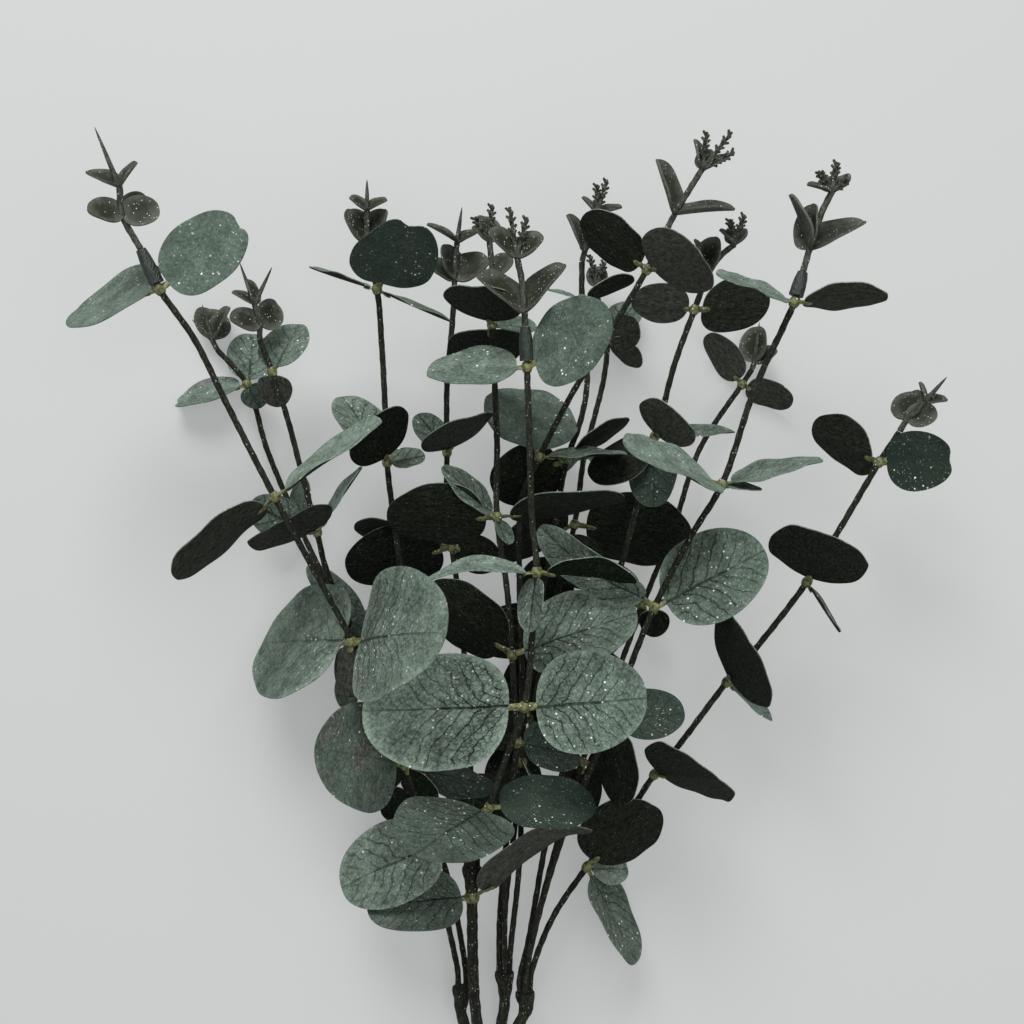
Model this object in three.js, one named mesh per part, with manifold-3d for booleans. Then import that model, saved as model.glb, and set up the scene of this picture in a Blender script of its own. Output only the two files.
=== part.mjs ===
// An artificial eucalyptus branch, lying on its back: four main stems on one stalk, fourteen leafy twigs
// with opposite fabric leaves on moulded collars, and a moulded tip at the end of each twig.
// Millimetres, +Z up. The origin is on the surface it lies on, under the middle of the branch.
import * as THREE from "three";
import { mergeVertices } from "three/addons/utils/BufferGeometryUtils.js";
import Module from "manifold-3d";

const wasm = await Module();
wasm.setup();
const { Manifold, Mesh: SolidMesh } = wasm;

// The branch is laid out as it looks from an eye straight above its middle plane. A point is (x, y, h):
// x and y are where it appears against that plane, and h is how far it stands out of the plane.
const EYE_HEIGHT = 569;
// The stalk end lies lower than the leafy head, so the middle plane leans by this angle.
const LEAN = THREE.MathUtils.degToRad(10);
const MIDDLE_HEIGHT = 51; // the middle plane's height over the surface at x = y = 0
const ORIGIN_Y = -62.9; // the middle of the whole branch, seen from the branch's own layout

const TWIG_RADIUS = 1.2;
const TIP_STALK_RADIUS = 1.2;
const SLEEVE_RADIUS = 2.7;
const SLEEVE_TOP_RADIUS = 1.8;
const MAIN_STEM_RADIUS = 2.2;
const FORK_RADIUS = 3.9; // where a main stem widens to carry its twigs
const FORK_LENGTH = 12;
const BINDING_RADIUS = 6.6; // where the main stems are bound into one stalk
const STALK_RADIUS = 4.6;
const NEEDLE_RADIUS = 0.9;
const BARB_RADIUS = 0.6;
const BARB_REACH = 2;
const JOINT_GAP = 0.4; // between two pieces that meet end to end

// How many sides the round pieces have, and how many steps a main stem takes from point to point.
const TWIG_SIDES = 5;
const MAIN_STEM_SIDES = 7;
const MAIN_STEM_STEPS = 2;
const FORK_SIDES = 8;
const STALK_SIDES = 10;
const SLEEVE_SIDES = 8;
const THIN_SIDES = 3; // of tip stalks, needles, prongs and barbs

const BLADE_THICKNESS = 0.7;
const LEAFLET_THICKNESS = 0.8;
const LENGTH_TO_WIDTH = 1.1; // of a leaf laid flat
const ROLLED = 40; // a leaf that bends more than this, in degrees, is rolled up to half its width
const ARM_SHARE = 0.16; // how much of the way from the stem to a leaf's tip is the collar's arm
const ARM_WIDTH = 2.4;
const ROUNDNESS = 0.85; // below 1 an outline is fuller than an ellipse
const BASE_FULLNESS = 0.12; // how much wider a leaf is towards its base
const BEND_SPREAD = [0.7, 1.3]; // a leaf bends by this much of what is given for it
const DISH_SPREAD = [5, 15]; // how far a leaf's edges lift, in degrees
const LEAFLET_BEND = 10;
const LEAFLET_DISH = 30;
const LARGE_LEAF = 32; // leaves longer than this get a dished blade with the finest outline
const SMALL_LEAF = 16; // leaves shorter than this get the plainest outline

const COLOURS = {
  leaf: 0x6e7f72,
  stem: 0x2c3027,
  tip: 0x6b6b55,
  sleeve: 0x2f4238,
};

// One seeded stream of small differences, so that no two leaves are alike.
let seed = 20241;
function random() {
  seed = (seed * 16807) % 2147483647;
  return seed / 2147483647;
}
const between = ([low, high]) => low + (high - low) * random();

// A leaf as it is seen: (tx, ty) runs from the stem's middle to the leaf's tip, (wx, wy) across its widest
// place. bend is how far the blade arches along its length, in degrees. facing is 1 where the upper side
// looks up the branch, and -1 where it looks down it.
function leaf(tx, ty, wx, wy, side, bend, facing) {
  return { tx, ty, wx, wy, side, bend, facing };
}
const upper = (tx, ty, wx, wy, bend = 8, facing = 1) => leaf(tx, ty, wx, wy, 1, bend, facing);
const under = (tx, ty, wx, wy, bend = 8, facing = 1) => leaf(tx, ty, wx, wy, -1, bend, facing);
const at = (x, y, h, ...leaves) => ({ x, y, h, leaves });

// Twigs from left to right, each from its top down to its main stem.
const TWIGS = {
  left_outer: [
    at(-142, 91.5, 50.2),
    at(-141, 89, 50, upper(-33, -8, 16, 27), upper(33, 27, 20, -24)),
    at(-127, 69, 47),
    at(-115, 45, 44),
    at(-95, 6, 42, under(-39, -33, 6, -7, 4), upper(43, 30, 2, -12)),
    at(-75, -31, 33),
    at(-64, -52, 28, upper(-36, -1, -18, -44), upper(38, 4, 10, 52, 30), under(-2, -22, 15, -3)),
    at(-54, -78, 24),
    at(-43, -101, 17, upper(-36, 6, -1, -42), upper(36, -8, 4, -18, 8, -1), under(10, -19, 13, 2)),
    at(-34, -124, 4),
    at(-32, -134, -2),
    at(-26, -163, -5),
  ],
  left_back: [
    at(-118, 65, -55),
    at(-106, 51, -53.5, upper(-29, -8, 2, -10), upper(2, 20, 18, -2), upper(6, -9, 9, 6)),
    at(-98, 25, -47),
    at(-84, -8, -38, upper(-21, 11, 6, 16), upper(1, 22, 10, -1)),
    at(-74, -29, -30),
    at(-61, -57, -19, upper(-18, 36, 14, -5), upper(-6, -22, 12, -4)),
    at(-50, -85, -17),
    at(-38, -115, -12, under(-14, -6, 8, -14), under(2, 18, 15, -1)),
    at(-26, -145, -10),
  ],
  left_inner: [
    at(-101, 69, -12),
    at(-96, 56, -13, upper(10, 19, 19, -2), under(2, -14, 14, 0)),
    at(-90, 38, -12),
    at(-86, 23, -11),
    at(-78, -8, -8, upper(18, 26, 4, -3, 4), under(-20, 1, -29, -17)),
    at(-74, -24, -8),
    at(-60, -55, -7),
    at(-45, -89, -4, under(-18, -26, 20, -8, 8, -1)),
    at(-33, -119, 0),
    at(-25, -132, 7, upper(-43, -19, -13, 26, 22)),
  ],
  left_middle: [
    at(-58, 104, 6),
    at(-54, 89, 6, upper(14, 28, 32, -6, 8, -1), upper(-27, 9, 0, -3, 2), upper(30, -13, 1, 3, 2)),
    at(-52, 65, 4),
    at(-51, 47, 3),
    at(-50, 20, 2, under(-4, 19, 23, 16), upper(-18, 26, 18, 4), upper(15, 3, 4, -8)),
    at(-47, -5, 1),
    at(-42, -40, 1, upper(-24, -20, 12, -16)),
    at(-34, -80, 2),
    at(-22, -120, 5),
  ],
  centre_left: [
    at(-23, 88, -16),
    at(-24, 74, -16),
    at(-26, 51, -16),
    at(-26, 24, -16, under(10, 14, 27, 9), upper(-12, 15, 10, 6)),
    at(-26, 5, -15),
    at(-24, -14, -14, under(-42, -10, 8, -24), under(-39, 7, 2, -11), under(19, -6, 4, 15)),
    at(-20, -45, -10),
    at(-18, -80, -6),
    at(-16, -115, 0),
  ],
  centre_high: [
    at(-9, 91, 13),
    at(-8, 75, 14, under(-8, 15, 31, -3), upper(18, -1, 3, -8), under(-5, -20, 30, 0)),
    at(-7, 53, 17),
    at(-6, 29, 20),
    at(-6, -2, 22, under(-44, -1, 2, -24), upper(-22, 20, 4, 8), upper(5, -11, 6, 0), under(51, 7, 0, -10)),
    at(-2, -31, 21),
    at(0, -57, 20, upper(50, 17, 5, -28), under(-35, 26, 14, 22)),
    at(1, -75, 18),
    at(2, -92, 16, upper(25, -5, 2, -17)),
    at(-2, -125, 4),
    at(-3, -160, 0),
  ],
  centre_front: [
    at(6, 60.5, 45.2),
    at(6, 58, 45, upper(-40, -2, -2, -17), upper(34, 20, 7, -32)),
    at(7, 29, 46),
    at(8, -3, 46),
    at(10, -24, 50, upper(-45, -4, 0, -4, 70), under(40, -4, 0, -8, 50), upper(-3, -24, 10, 0)),
    at(8, -51, 44),
    at(5, -78, 42, upper(-65, -2, -3, -49, 8, -1), upper(49, 4, 2, -40)),
    at(-3, -100, 37),
    at(-9, -118, 33, upper(-30, -20, 40, -13), upper(42, 2, 6, -16)),
    at(-13, -131, 22),
  ],
  centre_back: [
    at(28, 100, -14),
    at(28, 85, -14, upper(-14, 4, 1, -3), under(21, 8, 1, -4)),
    at(30, 51, -15),
    at(27, 35, -14),
    at(22, 21, -12, under(25, 16, 3, -5, 5), under(-30, -12, -9, 23)),
    at(16, -12, -11, under(20, -16, 14, 16)),
    at(9, -51, -10, under(-22, 6, 6, 18), under(20, -8, 6, -18)),
    at(4, -90, -9),
    at(-2, -130, -6),
    at(-5, -165, -4),
  ],
  centre_far: [
    at(34, 87, -52),
    at(38, 69, -50, under(13, 5, 3, -14), upper(11, 15, 14, -4), under(14, -10, 2, 7), upper(-18, 4, 3, 12)),
    at(37, 55, -50),
    at(33, 38, -42),
    at(29, 23, -36, upper(14, -5, 2, 6), upper(-16, -8, 5, 11)),
    at(25, -5, -27, under(47, -6, 0, -29), under(-30, -10, 6, 20)),
    at(15, -45, -22, under(-29, -6, 4, -22), under(-3, 27, 23, 2, 8, -1), under(29, -6, 4, 22)),
    at(8, -83, -17, under(-29, -4, 4, -22), under(-2, 26, 23, 2, 8, -1), under(11, -5, 4, -12)),
    at(2, -120, -14, under(-28, 7, 6, 22), under(-3, 27, 23, 2, 8, -1)),
    at(-2.8, -160, -6),
  ],
  right_crossing: [
    at(60, 109, 15),
    at(54, 97, 16, under(-26, 21, 8, 11), under(23, 4, 20, -24)),
    at(41, 75, 12),
    at(25, 49, 8),
    at(11, 22, 4, upper(-8, 27, 37, -2), upper(35, 1, 0, -4, 5)),
    at(4, 5, 2),
    at(3, -30, 4),
    at(4, -60, 5),
    at(4, -100, 4, under(5, -9, 5, -8, 8, -1)),
    at(3, -140, -1),
  ],
  right_inner: [
    at(77, 92, 2),
    at(73, 81, 0, under(-25, 4, -3, -13), under(30, 2, -2, -20)),
    at(65, 59, -2),
    at(60, 40, -5),
    at(57, 30, -3, under(9, 10, 20, -17), upper(32, 2, 1, -5), under(-26, -16, 8, -14, 8, -1), upper(0, -28, 19, 2)),
    at(51, 6, -3),
    at(44, -20, -5),
    at(34, -55, -7, under(15, -13, 9, -14)),
    at(24, -90, -8),
    at(14, -130, -3),
    at(6.5, -172, 0),
  ],
  right_middle: [
    at(113.6, 86.5, 46),
    at(113, 84, 46, upper(-31, 11, 3, -11), under(37, 1, 0, -6, 4)),
    at(109, 75, 45),
    at(97, 49, 42),
    at(84, 11, 38, upper(40, 10, 1, -6, 4), upper(-38, 14, 15, -20), upper(16, -2, 1, 3, 4)),
    at(72, -9, 34),
    at(57, -38, 28, upper(44, 23, 14, -31), upper(-46, 32, 10, 13, 60, -1), under(0, -12, 12, 0)),
    at(48, -60, 27),
    at(40, -83, 24, upper(29, 3, 2, -18), under(2, -34, 15, -2)),
    at(22, -125, 7),
    at(11, -160, 6),
  ],
  right_back: [
    at(96, 57, -54),
    at(92, 51, -53.3, under(-14, 20, 8, 5), under(20, -8, 3, 9)),
    at(75, 25, -46),
    at(65, -5, -41),
    at(52, -38, -33, under(6, -10, 12, -2, 8, -1), upper(-24, 14, 10, 18)),
    at(40, -70, -26),
    at(28, -100, -19, under(-19, 12, 9, 14), under(-2, -25, 19, -1), under(20, -4, 3, 15)),
    at(16, -140, -9),
    at(8, -172, -3),
  ],
  right_low: [
    at(155, 32, 14),
    at(147, 20, 12, under(-27, 12, 6, -21), upper(30, 1, 2, -24, 8, -1)),
    at(131, -7, 10),
    at(118, -28, 8, under(8, 19, 37, -13), upper(13, -20, 2, 2, 4)),
    at(98, -54, 5),
    at(86, -68, 4, under(9, 16, 19, -34), upper(18, -15, 2, 4, 6)),
    at(67, -93, 3),
    at(57, -105, 2, under(26, -2, 27, -24)),
    at(45, -123, 2),
    at(30, -142, 1, under(26, 25, 25, -16), upper(20, -38, 12, 4), upper(16, 0, 3, -13)),
    at(17, -161, 1),
    at(10, -177, 1),
  ],
};

// The main stem that each twig stands on, and how far sideways and forward of that stem's middle.
const FEET = {
  left_outer: ["left_back", -1.6, 0],
  left_back: ["left_back", 1.6, 0],
  left_inner: ["left_front", -2.1, 0],
  left_middle: ["left_front", 0, 2.2],
  centre_left: ["left_front", 0, -2.2],
  centre_front: ["left_front", 2.1, 0],
  centre_high: ["right_middle", 0, 2.2],
  centre_back: ["right_middle", -2.1, 0],
  centre_far: ["right_middle", 0, -2.2],
  right_crossing: ["right_middle", 2.1, 0],
  right_inner: ["right", -2.1, 0],
  right_middle: ["right", 0, 2.2],
  right_back: ["right", 0, -2.2],
  right_low: ["right", 2.1, 0],
};
const FOOT_LENGTH = 5;

// Each twig's tip: its stalk from the twig upwards, with small cupped leaflets, then the ends of its
// needles, or of the little branched sprigs that stand at the very end.
const TIPS = {
  left_outer: {
    stalk: [
      at(-148.5, 105, 51.5),
      at(-156, 119, 53, upper(-14, 2, 3, -11), upper(10, 6, 6, -10), upper(15, 2, 3, -13)),
      at(-157, 130, 54, upper(-13, 6, 3, 5), upper(7, 10, 5, -3)),
    ],
    needles: [[-167, 154]],
  },
  left_back: {
    stalk: [at(-118, 65, -55), at(-120, 69, -55, upper(-1, 12, 14, -2), upper(7, 13, 7, -3))],
    needles: [[-128, 77], [-124, 83]],
  },
  left_inner: {
    stalk: [
      at(-101, 69, -12),
      at(-101, 75, -11, upper(-12, 3, 1, -10), upper(7, 8, 7, -9)),
      at(-103, 83, -10, upper(-9, 5, 1, 3), upper(-3, 10, 3, 0)),
    ],
    needles: [[-109, 100], [-96, 98]],
  },
  left_middle: {
    stalk: [
      at(-58, 104, 6),
      at(-58, 107, 6, upper(-7, 14, 10, 3), upper(7, 14, 10, -3)),
      at(-58, 121, 7, upper(-7, 5, 2, 4), upper(8, 4, 2, -4)),
    ],
    needles: [[-58, 133]],
  },
  centre_left: {
    stalk: [
      at(-23, 88, -16),
      at(-23, 93, -16, upper(-4, 14, 8, 2), upper(13, 9, 9, -9), upper(-10, 7, 4, 7)),
      at(-22, 108, -15, upper(-12, 7, 1, 2), upper(8, 4, 2, -4)),
    ],
    needles: [[-20, 122]],
  },
  centre_high: {
    stalk: [
      at(-9, 91, 13),
      at(-8, 96, 13, upper(8, 6, 5, -7)),
      at(-9, 108, 12, upper(-7, 6, 2, 3), upper(-2, 10, 11, -1)),
    ],
    sprigs: [[-15, 118], [-8, 123]],
  },
  centre_front: {
    stalk: [
      at(5.3, 74, 46.6),
      at(5, 80, 47, upper(-19, 15, 6, 10), upper(16, 19, 9, -6)),
      at(4, 92, 45),
      at(2, 102, 46, upper(-11, 11, 6, 7), upper(10, 9, 6, -7), upper(0, 6, 11, 0)),
    ],
    sprigs: [[-1, 122], [6, 118]],
  },
  centre_back: {
    stalk: [
      at(28, 100, -14),
      at(29, 104, -14, upper(-7, 15, 5, 4), upper(6, 10, 4, -3)),
      at(34, 119, -13, upper(-6, 7, 2, 2), upper(10, 3, 1, -4)),
    ],
    sprigs: [[34, 131], [38, 133]],
  },
  centre_far: {
    stalk: [at(34, 87, -52), at(34, 90, -52, upper(0, 8, 9, 0))],
    sprigs: [[31, 103], [37, 100]],
  },
  right_crossing: {
    stalk: [
      at(60, 109, 15),
      at(65, 119, 16, upper(-7, 22, 9, 3), upper(24, 2, 1, -7)),
      at(71, 129, 17),
      at(76, 137, 18, upper(-3, 12, 5, 1), upper(11, 5, 2, -5), upper(3, 8, 7, -2)),
    ],
    sprigs: [[78, 152], [88, 152], [89, 144]],
  },
  right_inner: {
    stalk: [
      at(77, 92, 2),
      at(78, 95, 2, upper(-5, 14, 5, 1), upper(3, 15, 9, -1)),
      at(84, 103, 3),
      at(89, 107, 3, upper(2, 6, 9, 0), upper(-6, 6, 2, 2)),
    ],
    sprigs: [[87, 117], [93, 119]],
  },
  right_middle: {
    stalk: [
      at(116.4, 96, 46),
      at(119, 105, 46, upper(-8, 22, 4, 3), upper(1, 18, 7, 1), upper(22, 11, 5, -8)),
      at(124, 120, 47),
      at(128, 128, 47, upper(-10, 3, 2, 3), upper(3, 6, 12, 0)),
    ],
    sprigs: [[123, 136], [130, 140], [134, 133]],
  },
  right_back: {
    stalk: [at(96, 57, -54), at(97, 60, -54, upper(1, 14, 10, 1), upper(9, 5, 2, -6))],
    needles: [[99, 76]],
  },
  right_low: {
    stalk: [
      at(155, 32, 14),
      at(158, 37, 14, upper(2, 11, 11, 2), upper(12, 3, 2, -10)),
      at(165, 44, 15, upper(-2, 8, 3, 0), upper(9, 1, 1, -4)),
    ],
    needles: [[174, 54]],
  },
};

// Sleeves that join three of the tips to their twigs.
const SLEEVED = ["left_outer", "centre_front", "right_middle"];

// Main stems from the fork that carries the twigs down to the binding. One has two leaves of its own.
const MAIN_STEMS = {
  left_back: [at(-20, -190, -5), at(-20, -202, -5), at(-12, -219, -2.4), at(-12, -225.5, -2.4)],
  left_front: [
    at(-16, -142, 6),
    at(-16, -154, 6, upper(-42, -5, 7, -20, 12), under(47, 27, 15, -7, 45)),
    at(-15, -195, 5),
    at(-12, -219, 2.5),
    at(-12, -225.5, 2.5),
  ],
  right_middle: [at(-3, -184, -2), at(-3, -197, -2), at(-7, -219, -2.4), at(-7, -225.5, -2.4)],
  right: [at(5.2, -192, 1), at(5.2, -200, 1), at(-7, -220, 2.4), at(-7, -225.5, 2.4)],
};
const STALK = [at(-9.5, -227, 0), at(-9.5, -232, 0), at(-10, -271, 0)];

// A point of the layout at its true place in the leaning middle plane's own frame.
function place({ x, y, h }) {
  const nearness = (EYE_HEIGHT - h) / EYE_HEIGHT;
  return new THREE.Vector3(x * nearness, y * nearness, h);
}

// A closed mesh as a solid, turned face side out where it is inside out.
function solid(geometry) {
  const bare = geometry.index ? geometry.toNonIndexed() : geometry.clone();
  bare.deleteAttribute("normal");
  bare.deleteAttribute("uv");
  const merged = mergeVertices(bare, 1e-4);
  const triVerts = new Uint32Array(merged.index.array);
  const vertProperties = merged.attributes.position.array;
  const made = new Manifold(new SolidMesh({ numProp: 3, vertProperties, triVerts }));
  if (made.volume() > 0) return made;
  for (let i = 0; i < triVerts.length; i += 3) {
    [triVerts[i + 1], triVerts[i + 2]] = [triVerts[i + 2], triVerts[i + 1]];
  }
  return new Manifold(new SolidMesh({ numProp: 3, vertProperties, triVerts }));
}

// Solids that cross, as one body. A pocket that the joining seals inside is filled.
function join(solids) {
  const bodies = solids.reduce((whole, next) => whole.add(next)).decompose();
  return bodies.reduce((largest, body) => (body.volume() > largest.volume() ? body : largest));
}

// A smooth line through points, divided at the points themselves.
class NodeCurve extends THREE.CatmullRomCurve3 {
  getUtoTmapping(u) {
    return u;
  }
}

// A rod with a regular outline along a smooth line through the points.
function rod(points, radius, sides, stepsPerSpan) {
  const line = new NodeCurve(points);
  const outline = new THREE.Shape();
  for (let i = 0; i < sides; i++) {
    const angle = (2 * Math.PI * i) / sides;
    if (i) outline.lineTo(radius * Math.cos(angle), radius * Math.sin(angle));
    else outline.moveTo(radius, 0);
  }
  const steps = Math.ceil(stepsPerSpan * (points.length - 1));
  return solid(new THREE.ExtrudeGeometry(outline, { steps, extrudePath: line, curveSegments: 1 }));
}

// A straight taper from one point to another, ending in a point where toRadius is 0.
function taper(from, to, fromRadius, toRadius, sides) {
  const geometry = new THREE.CylinderGeometry(toRadius, fromRadius, from.distanceTo(to), sides);
  const along = new THREE.Vector3().subVectors(to, from).normalize();
  geometry.applyQuaternion(new THREE.Quaternion().setFromUnitVectors(new THREE.Vector3(0, 1, 0), along));
  geometry.translate(...new THREE.Vector3().addVectors(from, to).multiplyScalar(0.5));
  return solid(geometry);
}

// How a leaf stands in depth. Its width is square to its length and in proportion to it, so the two lines
// that are seen give how far each leans out of sight, up to one sign, and the upper side's facing gives that.
function standing(node, spec, armShare) {
  const share = 1 - armShare;
  const root = place(node);
  const ratio = (LENGTH_TO_WIDTH * (spec.bend > ROLLED ? 2 : 1)) ** 2;
  let rise = 0;
  let turn = 0;
  let frame;
  for (let pass = 0; pass < 5; pass++) {
    const tip = place({ x: node.x + spec.tx, y: node.y + spec.ty, h: node.h + rise });
    const nearness = (EYE_HEIGHT - node.h - rise / 2) / EYE_HEIGHT;
    const lx = (tip.x - root.x) * share;
    const ly = (tip.y - root.y) * share;
    const wx = spec.wx * nearness;
    const wy = spec.wy * nearness;
    const skew = lx * wx + ly * wy;
    const spare = ratio * (wx * wx + wy * wy) - (lx * lx + ly * ly);
    const lengthDepth = (spare + Math.sqrt(spare * spare + 4 * ratio * skew * skew)) / 2;
    const lz = Math.sqrt(lengthDepth);
    const wz = -(Math.sign(skew) || 1) * Math.sqrt((lengthDepth - spare) / ratio);
    const along = new THREE.Vector3(lx, ly, lz);
    const across = new THREE.Vector3(wx, wy, wz);
    const normal = new THREE.Vector3().crossVectors(along, across);
    if (!turn) turn = normal.y * normal.z * spec.side * spec.facing > 0 ? 1 : -1;
    along.z *= turn;
    across.z *= turn;
    normal.crossVectors(along, across);
    if (normal.z * spec.side < 0) normal.negate();
    rise = along.z / share;
    frame = {
      along: along.clone().normalize(),
      normal: normal.normalize(),
      length: along.length(),
      width: across.length(),
      arm: along.length() * (armShare / share),
    };
  }
  frame.across = new THREE.Vector3().crossVectors(frame.normal, frame.along);
  frame.root = root;
  return frame;
}

// A leaf blade with its narrow arm: an egg-shaped outline, arched along its length and lifted at its edges
// like a shallow dish, with the same triangles on both faces.
function blade(frame, bend, dish, thickness) {
  const { along, across, normal, length, width, root, arm } = frame;
  const rows = length > LARGE_LEAF ? 5 : length > SMALL_LEAF ? 4 : 3;
  const columns = length > LARGE_LEAF ? [-1, 0, 1] : [-1, 1];
  const arch = THREE.MathUtils.degToRad(bend);
  const lift = THREE.MathUtils.degToRad(dish);
  const radius = length / (2 * Math.sin(arch / 2));
  const points = [];
  const push = (u, v) => {
    const turn = Math.PI * u;
    const outline = Math.sin(turn) ** ROUNDNESS * (1 + BASE_FULLNESS * Math.cos(turn));
    const half = u < 1 ? Math.max((width / 2) * outline, ARM_WIDTH / 2) : 0;
    const tilt = arch * ((1 - Math.cos(turn)) / 2 - 0.5);
    const up = normal.clone().multiplyScalar(Math.cos(tilt)).addScaledVector(along, Math.sin(tilt));
    const middle = root
      .clone()
      .addScaledVector(along, arm + length / 2 + radius * Math.sin(tilt))
      .addScaledVector(normal, radius * (Math.cos(tilt) - Math.cos(arch / 2)));
    middle.addScaledVector(across, (half * Math.sin(lift * v)) / lift);
    middle.addScaledVector(up, (half * (1 - Math.cos(lift * v))) / lift);
    points.push(middle.clone().addScaledVector(up, thickness / 2));
    points.push(middle.clone().addScaledVector(up, -thickness / 2));
  };
  points.push(root.clone().addScaledVector(normal, thickness / 2));
  points.push(root.clone().addScaledVector(normal, -thickness / 2));
  const firstRow = arm > 0 ? 0 : 1;
  for (let row = firstRow; row < rows; row++) for (const v of columns) push(row / rows, v);
  push(1, 0);
  const wide = columns.length;
  const bands = rows - firstRow;
  const last = points.length / 2 - 1;
  const faces = [];
  const face = (a, b, c) => {
    faces.push(2 * a, 2 * b, 2 * c, 2 * a + 1, 2 * c + 1, 2 * b + 1);
  };
  const edges = [[0], [0]];
  for (let band = 0; band <= bands; band++) {
    const a = 1 + wide * (band - 1);
    edges[0].push(band < bands ? a + wide : last);
    edges[1].push(band < bands ? a + 2 * wide - 1 : last);
    for (let i = 0; i < wide - 1; i++) {
      if (band === 0) face(0, 1 + i, 2 + i);
      else if (band === bands) face(a + i, last, a + i + 1);
      else {
        face(a + i, a + wide + i, a + wide + i + 1);
        face(a + i, a + wide + i + 1, a + i + 1);
      }
    }
  }
  const rim = [...edges[0], ...edges[1].slice(1, -1).reverse()];
  for (let i = 0; i < rim.length; i++) {
    const a = rim[i];
    const b = rim[(i + 1) % rim.length];
    faces.push(2 * a, 2 * a + 1, 2 * b, 2 * b, 2 * a + 1, 2 * b + 1);
  }
  const geometry = new THREE.BufferGeometry().setFromPoints(points);
  geometry.setIndex(faces);
  return solid(geometry);
}

// The leaves at one collar, each rooted in the stem's middle.
function collarLeaves(node) {
  return node.leaves.map((spec) => {
    const bend = spec.bend * between(BEND_SPREAD);
    return blade(standing(node, spec, ARM_SHARE), bend, between(DISH_SPREAD), BLADE_THICKNESS);
  });
}

// A twig's middle line, from its top down to its foot on the main stem.
function twigLine(name) {
  const [mainStem, sideways, forward] = FEET[name];
  const foot = place(MAIN_STEMS[mainStem][0]).add(new THREE.Vector3(sideways, JOINT_GAP, forward));
  const ankle = foot.clone().setY(foot.y + FOOT_LENGTH);
  return [...TWIGS[name].map(place), ankle, foot];
}

function twig(name) {
  return join([rod(twigLine(name), TWIG_RADIUS, TWIG_SIDES, 1), ...TWIGS[name].flatMap(collarLeaves)]);
}

// A main stem, widened into a fork under the twigs it carries.
function mainStem(nodes) {
  const line = nodes.map(place);
  const down = new THREE.Vector3().subVectors(line[1], line[0]).normalize();
  const forkEnd = line[0].clone().addScaledVector(down, FORK_LENGTH);
  const fork = taper(line[0], forkEnd, FORK_RADIUS, MAIN_STEM_RADIUS, FORK_SIDES);
  const core = rod(line, MAIN_STEM_RADIUS, MAIN_STEM_SIDES, MAIN_STEM_STEPS);
  return join([fork, core, ...nodes.flatMap(collarLeaves)]);
}

// The stalk: wide where the main stems are bound together, and plain below.
function stalk() {
  const [top, shoulder, end] = STALK.map(place);
  const binding = taper(top, shoulder, BINDING_RADIUS, STALK_RADIUS, STALK_SIDES);
  const plain = taper(top, end, STALK_RADIUS, STALK_RADIUS, STALK_SIDES);
  return join([binding, plain]);
}

// A sleeve fills the way from a twig's end to its tip's stalk.
function sleeve(name) {
  const from = place(TWIGS[name][0]);
  const to = place(TIPS[name].stalk[0]);
  from.addScaledVector(new THREE.Vector3().subVectors(to, from).normalize(), JOINT_GAP);
  return taper(from, to, SLEEVE_RADIUS, SLEEVE_TOP_RADIUS, SLEEVE_SIDES);
}

// A branched sprig: a thin prong with pairs of barbs up its sides.
function sprig(from, to) {
  const parts = [taper(from, to, NEEDLE_RADIUS, 0, THIN_SIDES)];
  const along = new THREE.Vector3().subVectors(to, from);
  const sideways = new THREE.Vector3(along.y, -along.x, 0).normalize();
  for (const [share, hand] of [[0.5, 1], [0.75, -1]]) {
    const foot = from.clone().addScaledVector(along, share);
    const end = foot.clone().addScaledVector(along, 0.2).addScaledVector(sideways, BARB_REACH * hand);
    parts.push(taper(foot, end, BARB_RADIUS, 0, THIN_SIDES));
  }
  return join(parts);
}

function tip({ stalk, needles = [], sprigs = [] }) {
  const top = stalk[stalk.length - 1];
  const points = stalk.map(place);
  points[0].addScaledVector(new THREE.Vector3().subVectors(points[1], points[0]).normalize(), JOINT_GAP);
  const parts = [rod(points, TIP_STALK_RADIUS, THIN_SIDES, 1)];
  for (const node of stalk) {
    for (const spec of node.leaves) {
      parts.push(blade(standing(node, spec, 0), LEAFLET_BEND, LEAFLET_DISH, LEAFLET_THICKNESS));
    }
  }
  const root = place(top);
  for (const [x, y] of needles) {
    parts.push(taper(root, place({ x, y, h: top.h + 1 }), NEEDLE_RADIUS, 0, THIN_SIDES));
  }
  for (const [x, y] of sprigs) parts.push(sprig(root, place({ x, y, h: top.h + 1 })));
  return join(parts);
}

const branch = new THREE.Group();
branch.name = "eucalyptus_branch";
const toSurface = new THREE.Matrix4()
  .makeTranslation(0, -ORIGIN_Y, MIDDLE_HEIGHT)
  .multiply(new THREE.Matrix4().makeRotationX(LEAN));

// What the branch rests on: the leaves and the stalk that touch it are trimmed flat there.
const surface = solid(new THREE.BoxGeometry(1000, 1000, 40).translate(0, 0, -20));

function add(name, shape, colour) {
  const resting = shape.transform(toSurface.elements).subtract(surface);
  const { numProp, vertProperties, triVerts } = resting.getMesh();
  const geometry = new THREE.BufferGeometry();
  geometry.setAttribute("position", new THREE.Float32BufferAttribute(vertProperties, numProp));
  geometry.setIndex(new THREE.Uint32BufferAttribute(triVerts, 1));
  geometry.computeVertexNormals();
  const material = new THREE.MeshStandardMaterial({ color: colour, roughness: 0.85, metalness: 0 });
  const mesh = new THREE.Mesh(geometry, material);
  mesh.name = name;
  branch.add(mesh);
}

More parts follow.
